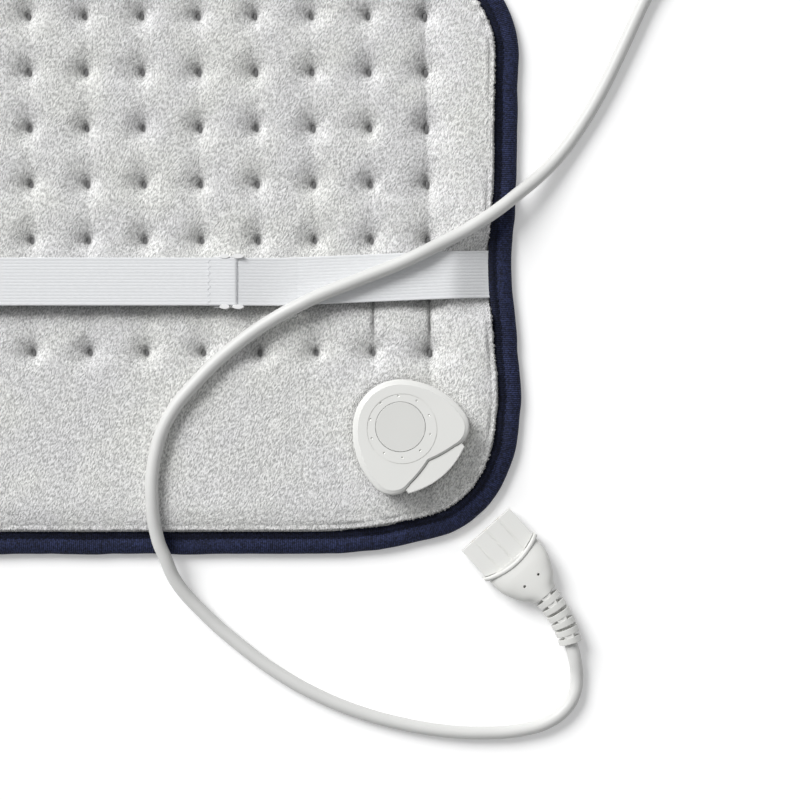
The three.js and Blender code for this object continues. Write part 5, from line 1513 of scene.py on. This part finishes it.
def nose_shape():
    """The flat nose: three fine grooves on its top and a contact bore behind each."""
    half = NOSE_HEIGHT / 2
    profile = slab_profile(-half, half, 0.4)
    body = outline_slab(
        lambda inset: bowed_outline(inset, NOSE_LENGTH, NOSE_HALF - inset, COLLAR_BULGE, 21), profile
    )
    groove = block((-1, -0.5, half - 0.8), (NOSE_LENGTH + 9, 0.5, half + 1), 0.05)
    bore = rod_x(2.2, -1, NOSE_LENGTH - 1, 24)
    return carved(body, *[moved(cut, (0, y, 0)) for cut in (groove, bore) for y in PIN_PLACES])


def collar_shape():
    """The bowed ridge between the nose and the body."""
    rings = []
    for y in np.linspace(-COLLAR_HALF, COLLAR_HALF, 41):
        share = abs(y) / COLLAR_HALF
        height = COLLAR_HEIGHT * (1 - 0.12 * share**2) * min(1, 0.72 + 2.2 * (1 - share))
        x, z = rounded_ring(COLLAR_WIDTH, 2 * height, 1.15, steps=6)[::-1].T
        middle = COLLAR_START + collar_bow(y) + COLLAR_WIDTH / 2
        rings.append(np.stack([middle + x, np.full(len(x), y), z], 1))
    return loft(rings)


def superellipse(half_width, half_height, power):
    x, y = (np.sign(v) * np.abs(v) ** (2 / power) for v in circle(64).T)
    return half_width * x, half_height * y


def smooth_through(knots, x):
    """The other columns of a table at x of its first, by a smooth curve with Catmull-Rom slopes."""
    xs, ys = knots[:, 0], knots[:, 1:]
    slopes = np.gradient(ys, xs, axis=0)
    i = int(np.clip(np.searchsorted(xs, x) - 1, 0, len(xs) - 2))
    step = xs[i + 1] - xs[i]
    t = (x - xs[i]) / step
    rise = t * t * (3 - 2 * t)
    curl = step * (t * (1 - t) ** 2 * slopes[i] - t**2 * (1 - t) * slopes[i + 1])
    return between(ys[i], ys[i + 1], rise) + curl


def plug_body_shape():
    """A hand-sized grip that narrows from the collar to the round neck, with two dimples."""
    rings = []
    for t in np.linspace(GRIP_KNOTS[0, 0], 1, 40):
        y, z = superellipse(*smooth_through(GRIP_KNOTS, t))
        bow = 0.9 * collar_bow(y) * max(0, 1 - t / 0.35)
        rings.append(np.stack([COLLAR_START + t * GRIP_LENGTH + bow, y, z], 1))
    rings.append(rings[-1] * (1, 0.93, 0.93) + (0.25, 0, 0))
    dimple = revolve([(0.6, 3.5), (0.75, 6.2), (0.8, 12)], 20)
    x = COLLAR_START + GRIP_LENGTH * DIMPLE_SHARE
    return carved(loft(rings), *[moved(dimple, (x, y, 0)) for y in (-DIMPLE_Y, DIMPLE_Y)])


def relief_radius(along):
    return between(PLUG_NECK, RELIEF_END, along / RELIEF_LENGTH)


def relief_ring(along, drop=0.0):
    """A ring of the strain relief, by a drop from its outer face."""
    point, angle = relief_place(along)
    y, z = (relief_radius(along) - drop) * circle(40).T
    return point + np.stack([-y * sin(angle), y * cos(angle), z], 1)


def relief_shape():
    """A bent sleeve of rings behind grooves; a web crosses each groove, upright or flat."""
    core = CORD_RADIUS + 0.3
    sleeve = np.linspace(0, RELIEF_LENGTH - 0.4, 24)
    parts = [loft([relief_ring(s, relief_radius(s) - core) for s in sleeve])]
    edge = [(0, RELIEF_EDGE), (0.3 * RELIEF_EDGE, 0.3 * RELIEF_EDGE), (RELIEF_EDGE, 0)]
    for i in range(RELIEF_GROOVES):
        groove = i * RELIEF_PITCH
        profile = [(groove + RELIEF_SLOT + inset, drop) for inset, drop in edge]
        profile += [(groove + RELIEF_PITCH - inset, drop) for inset, drop in edge[::-1]]
        parts.append(loft([relief_ring(s, drop) for s, drop in profile]))
        middle = groove + RELIEF_SLOT / 2
        spans = relief_radius(middle) * np.array((0.93, 0.4) if i in ACROSS_WEBS else (0.4, 0.93))
        half = np.array([RELIEF_SLOT / 2 + 0.4, *spans])
        point, angle = relief_place(middle)
        parts.append(moved(block(-half, half, 0.3), point, turned(angle)))
    return merge(*parts)


def make_plug():
    place = {"place": PLUG_MATRIX, "slot": "shell"}
    nose = piece("plug_flat_nose", nose_shape(), CAP, ["plug_nose"], **place)
    body = piece("plug_grip", plug_body_shape(), SHELL, ["plug_body"], sharp=50, **place)
    collar = piece("plug_collar", collar_shape(), SHELL, sharp=50, **place)
    relief = piece("plug_sleeve_relief", relief_shape(), SHELL, ["plug_relief"], **place)
    return [nose, body, collar, relief]


# Controller

CONTROLLER_CORNER = 22
BUTTONS = {
    # place along the controller, radius
    "power": (CONTROLLER_LENGTH * 0.24, 7.0),
    "plus": (-CONTROLLER_LENGTH * 0.155, 6.0),
    "minus": (-CONTROLLER_LENGTH * 0.293, 6.0),
}
BUTTON_TOP = CONTROLLER_HEIGHT + 1.5
BUTTON_STEM = box_mm("power_button")[0][2]
WINDOW_X = CONTROLLER_LENGTH * 0.043
WINDOW_LENGTH = CONTROLLER_LENGTH * 0.19
WINDOW_WIDTH = 5
WINDOW_CORNER = 2.3
LAMP_PITCH = 4.6
WALL = 2
ROOF = CONTROLLER_HEIGHT - WALL
SHOULDER_WIDTH = 9
SHOULDER_DROP = 6.5
SEAM_EDGE = 0.25
BOOT_HOLE = 4.6
SCREW_HOLE = 2.8
SCREW_INSET = 13
STROKE = 0.42


def controller_outline(inset):
    return rounded_ring(CONTROLLER_LENGTH, CONTROLLER_WIDTH, CONTROLLER_CORNER, inset, 14)


def window_slab(grow, z0, z1, edge):
    length, width = WINDOW_LENGTH + 2 * grow, WINDOW_WIDTH + 2 * grow
    shape = outline_slab(
        lambda inset: rounded_ring(length, width, WINDOW_CORNER + grow, inset), slab_profile(z0, z1, edge)
    )
    return moved(shape, (WINDOW_X, 0, 0))


def near_ends(shape, inset, z=0.0):
    """The shape at both ends of the controller, an inset from each."""
    return [moved(shape, (side * (CONTROLLER_LENGTH / 2 - inset), 0, z)) for side in (-1, 1)]


def boot_holes():
    return near_ends(rod_x(BOOT_HOLE, -6, 6, 40), 3, CONTROLLER_SPLIT)


def controller_top_shape():
    split = CONTROLLER_SPLIT + GAP / 2
    top = CONTROLLER_HEIGHT
    turn = np.linspace(0, pi / 2, 12)
    crown = [(SHOULDER_WIDTH * (1 - cos(a)), top - SHOULDER_DROP * (1 - sin(a))) for a in turn]
    outer = [(SEAM_EDGE, split), (0.0, split + SEAM_EDGE), *crown]
    inner = [(SHOULDER_WIDTH - WALL, ROOF), (WALL, ROOF - 3.5), (WALL, split)]
    wells = []
    for x, r in BUTTONS.values():
        well = revolve([(r + GAP, ROOF - 2), (r + GAP, top - 0.35), (r + 0.8, top + 0.2)], 64)
        wells.append(moved(well, (x, 0, 0)))
    pane_room = window_slab(GAP, ROOF - 2, top + 2, 0.1)
    return carved(outline_slab(controller_outline, inner + outer), *wells, pane_room, *boot_holes())


def controller_bottom_shape():
    rim = CONTROLLER_SPLIT - GAP / 2
    outer = [(4.6, 0), (3.4, 0.15), (2.0, 0.7), (0.9, 1.7), (0.25, 3.0), (0, 4.4), (0, rim - SEAM_EDGE)]
    inner = [(SEAM_EDGE, rim), (WALL, rim), (WALL, 4), (4.5, WALL)]
    screws = near_ends(rod(SCREW_HOLE, -1, 2.4, 32), SCREW_INSET)
    return carved(outline_slab(controller_outline, outer + inner), *screws, *boot_holes())


def button_shape(radius):
    """A dished key with a flange under the roof and a stem."""
    flange, low = ROOF - GAP, ROOF - GAP - 1.2
    stem = [(2.6, BUTTON_STEM), (2.6, low), (radius + 1.2, low), (radius + 1.2, flange), (radius, flange)]
    edge = [(radius - inset, BUTTON_TOP - depth) for inset, depth in ((0, 0.9), (0.1, 0.5), (0.4, 0.18))]
    dish = [(radius * t, BUTTON_TOP - 0.45 * (1 - t**2)) for t in np.linspace(0.86, 0.05, 9)]
    return revolve(stem + edge + dish, 64)


def symbol_shape(name, radius):
    """Raised marks: a broken ring with a stroke, a cross, or a bar."""
    half = radius * 0.42
    bars = {
        "power": [((0, half * 0.25), (0, half * 1.25))],
        "plus": [((-half, 0), (half, 0)), ((0, -half), (0, half))],
        "minus": [((-half, 0), (half, 0))],
    }
    level = BUTTON_TOP - 0.32
    marks = [sweep_tube(at_height(ends, level), STROKE, 12) for ends in bars[name]]
    if name == "power":
        ring = arc(0, 0, half, radians(125), radians(415), 40)
        marks.insert(0, sweep_tube(at_height(ring, level), STROKE, 10))
    return merge(*marks)


BOOT_GROOVES = (0.25, 0.5, 0.75)
BOOT_GROOVE = ((-0.02, 0), (0.0, 0.12), (0.015, 0.7), (0.065, 0.7), (0.08, 0.12), (0.1, 0))


def boot_shape(length, radius, flange=0):
    """A tapered cord boot with ring grooves, and a neck and flange that the shells hold."""
    profile = [(flange, -4.8), (flange, -3.2), (4.3, -3.2), (4.3, 0.6)] if flange else []
    profile += [(radius - 0.5, 0.6), (radius - 0.1, 0.8), (radius, 1.2)]
    end = CORD_RADIUS + 1
    for t in BOOT_GROOVES:
        profile += [(between(radius, end, t + out) - drop, length * (t + out)) for out, drop in BOOT_GROOVE]
    rim = (between(radius, end, 0.97), length * 0.97)
    profile += [rim, (end - 0.15, length * 0.992), (end - 0.5, length)]
    return revolve_x(profile)


def make_controller():
    place = {"place": CONTROLLER_PLACE}
    shell = {"slot": "shell", **place}
    piece("controller_upper_shell", controller_top_shape(), SHELL, ["controller_top"], **shell)
    piece("controller_lower_shell", controller_bottom_shape(), SHELL, ["controller_bottom"], **shell)
    for name, (x, radius) in BUTTONS.items():
        body = f"{name}_button"
        key = moved(button_shape(radius), (x, 0, 0))
        mark = moved(symbol_shape(name, radius), (x, 0, 0))
        piece(f"{name}_key", key, BUTTON, [body], body=body, slot="button", **place)
        piece(f"{name}_symbol", mark, SYMBOL, body=body, sharp=180, **shell)
    pane = window_slab(0, ROOF - 0.8, CONTROLLER_HEIGHT, 0.35)
    window = merge(pane, window_slab(1.2, ROOF - 1.5, ROOF - GAP, 0.1))
    piece("level_display", window, WINDOW, ["level_window"], slot="window", **place)
    lamp = dome(1.0, 0.12, 20)
    spots = [(WINDOW_X + LAMP_PITCH * i, 0, CONTROLLER_HEIGHT - 0.02) for i in (-1.5, -0.5, 0.5, 1.5)]
    lamps = merge(*[moved(lamp, spot) for spot in spots])
    piece("level_marks", lamps, SYMBOL, slot="window", sharp=180, **place)
    for node, side, turn in (("connector_boot", 1, 0), ("mains_boot", -1, pi)):
        middle = (side * CONTROLLER_LENGTH / 2, 0, CONTROLLER_SPLIT)
        shape = moved(boot_shape(BOOT_LENGTH, radius=6.4, flange=5.9), middle, turned(turn))
        piece(f"{node}_sleeve", shape, SHELL, [node], **shell)


# Mains plug and tie

MAINS_LENGTH = 36
MAINS_HALF = 17.5
MAINS_PIN_Y = 9.3
MAINS_PIN_RADIUS = 2.0
MAINS_PIN_START = 28.5
MAINS_PIN_END = 54.45
MAINS_PIN_TIP = [(0, 1.45), (0.1, 0.85), (0.45, 0.25), (1.1, 0)]
GRIP_START = 10
GRIP_PITCH = 3.2
TIE_HALF = 6


def mains_outline(inset):
    """The flat plug's outline: a narrow neck that widens to the face."""
    half = MAINS_HALF - inset
    side = np.concatenate(
        [
            bent((inset, 6.5 - inset), (7, 8 - inset), (13, half - 2.5), 10),
            bent((13, half - 2.5), (17, half), (22, half), 8)[1:],
            bent((22, half), (30, half), (MAINS_LENGTH - inset, half * 0.8), 10)[1:],
        ]
    )
    return np.concatenate([side[::-1], side * (1, -1)])[::-1]


def make_mains_plug():
    half = MAINS_PLUG_Z
    places = (-MAINS_PIN_Y, MAINS_PIN_Y)
    bore = rod_x(MAINS_PIN_RADIUS + GAP, MAINS_PIN_START - 0.5, MAINS_LENGTH + 4, 32)
    bores = [moved(bore, (0, y, 0)) for y in places]
    body = carved(outline_slab(mains_outline, slab_profile(-half, half, 3.2, 7)), *bores)
    grip = block((-0.5, -7, -0.6), (0.5, 7, 0.35))
    grips = [moved(grip, (GRIP_START + GRIP_PITCH * i, 0, half)) for i in range(4)]
    relief = moved(boot_shape(MAINS_BOOT, radius=6.0), turn=turned(pi))
    tip = [(MAINS_PIN_RADIUS - inset, MAINS_PIN_END - back) for inset, back in MAINS_PIN_TIP]
    pin = revolve_x([(MAINS_PIN_RADIUS, MAINS_PIN_START), *tip], 32)
    place = {"place": MAINS_PLACE}
    shell = {"slot": "shell", **place}
    made = [
        piece("mains_plug_moulding", body, SHELL, ["mains_plug_body"], **shell),
        piece("mains_plug_grips", merge(*grips), SHELL, **shell),
        piece("mains_plug_boot", relief, SHELL, ["mains_plug_relief"], **shell),
    ]
    for i, y in enumerate(places, 1):
        contact = moved(pin, (0, y, 0))
        made.append(piece(f"mains_contact_{i}", contact, STEEL, [f"mains_pin_{i}"], slot="metal", **place))
    return made


def make_tie():
    """A woven band round the coil's turns, with its overlapping end."""
    width, _, height = size_mm("coil_tie")
    middle = middle_mm("coil_tie")
    outside = [(0, TIE_HALF - 0.1), (0.02, TIE_HALF), (TIE_BAND - 0.05, TIE_HALF), (TIE_BAND, TIE_HALF - 0.1)]
    profile = [(inset, -y) for inset, y in outside] + outside[::-1]
    rings = [at_height(rounded_ring(width, height, 4.0, inset), y) for inset, y in profile]
    upright = moved(loft(rings, closed=True), middle, turned(pi / 2, "X"))
    flap = moved(block((-7, -5.6, 0), (7, 5.6, 0.7)), middle + (1, 0, height / 2))
    return piece("coil_tie_band", merge(upright, flap), TIE, ["coil_tie"], slot="tie")


# Nodes that keep their solids


def numbered(name, count):
    return [f"{name}_{i + 1}" for i in range(count)]


SCREWS = numbered("socket_screw", 2) + numbered("controller_screw", 2)
KEPT = [
    (LINING, ["lower_wadding", "wire_carrier"]),
    (CORD_SHEATH, ["heating_wire", *numbered("lead_wire", 2)]),
    (SHELL, ["socket_clamp"]),
    (INSULATOR, ["contact_block", *[f"{name}_switch" for name in BUTTONS]]),
    (BOARD, ["controller_board"]),
    (BRASS, numbered("contact_pin", 3) + numbered("plug_sleeve", 3)),
    (STEEL, [*numbered("thermal_cutout", 2), *SCREWS, *[f"{name}_plunger" for name in BUTTONS]]),
]

QUILT = quilted_top()
make_plush()
make_wadding()
make_binding()
make_fringe()
make_lining()
make_tacks()
make_strap()
make_slider()
make_ring()
make_socket()
plug_pieces = make_plug()
make_controller()
mains_pieces = make_mains_plug()
tie = make_tie()
for material, nodes in KEPT:
    for node in nodes:
        dress(node, material)

Vector(connector_route()[0]) * MM
Vector(mains_route()[0]) * MM
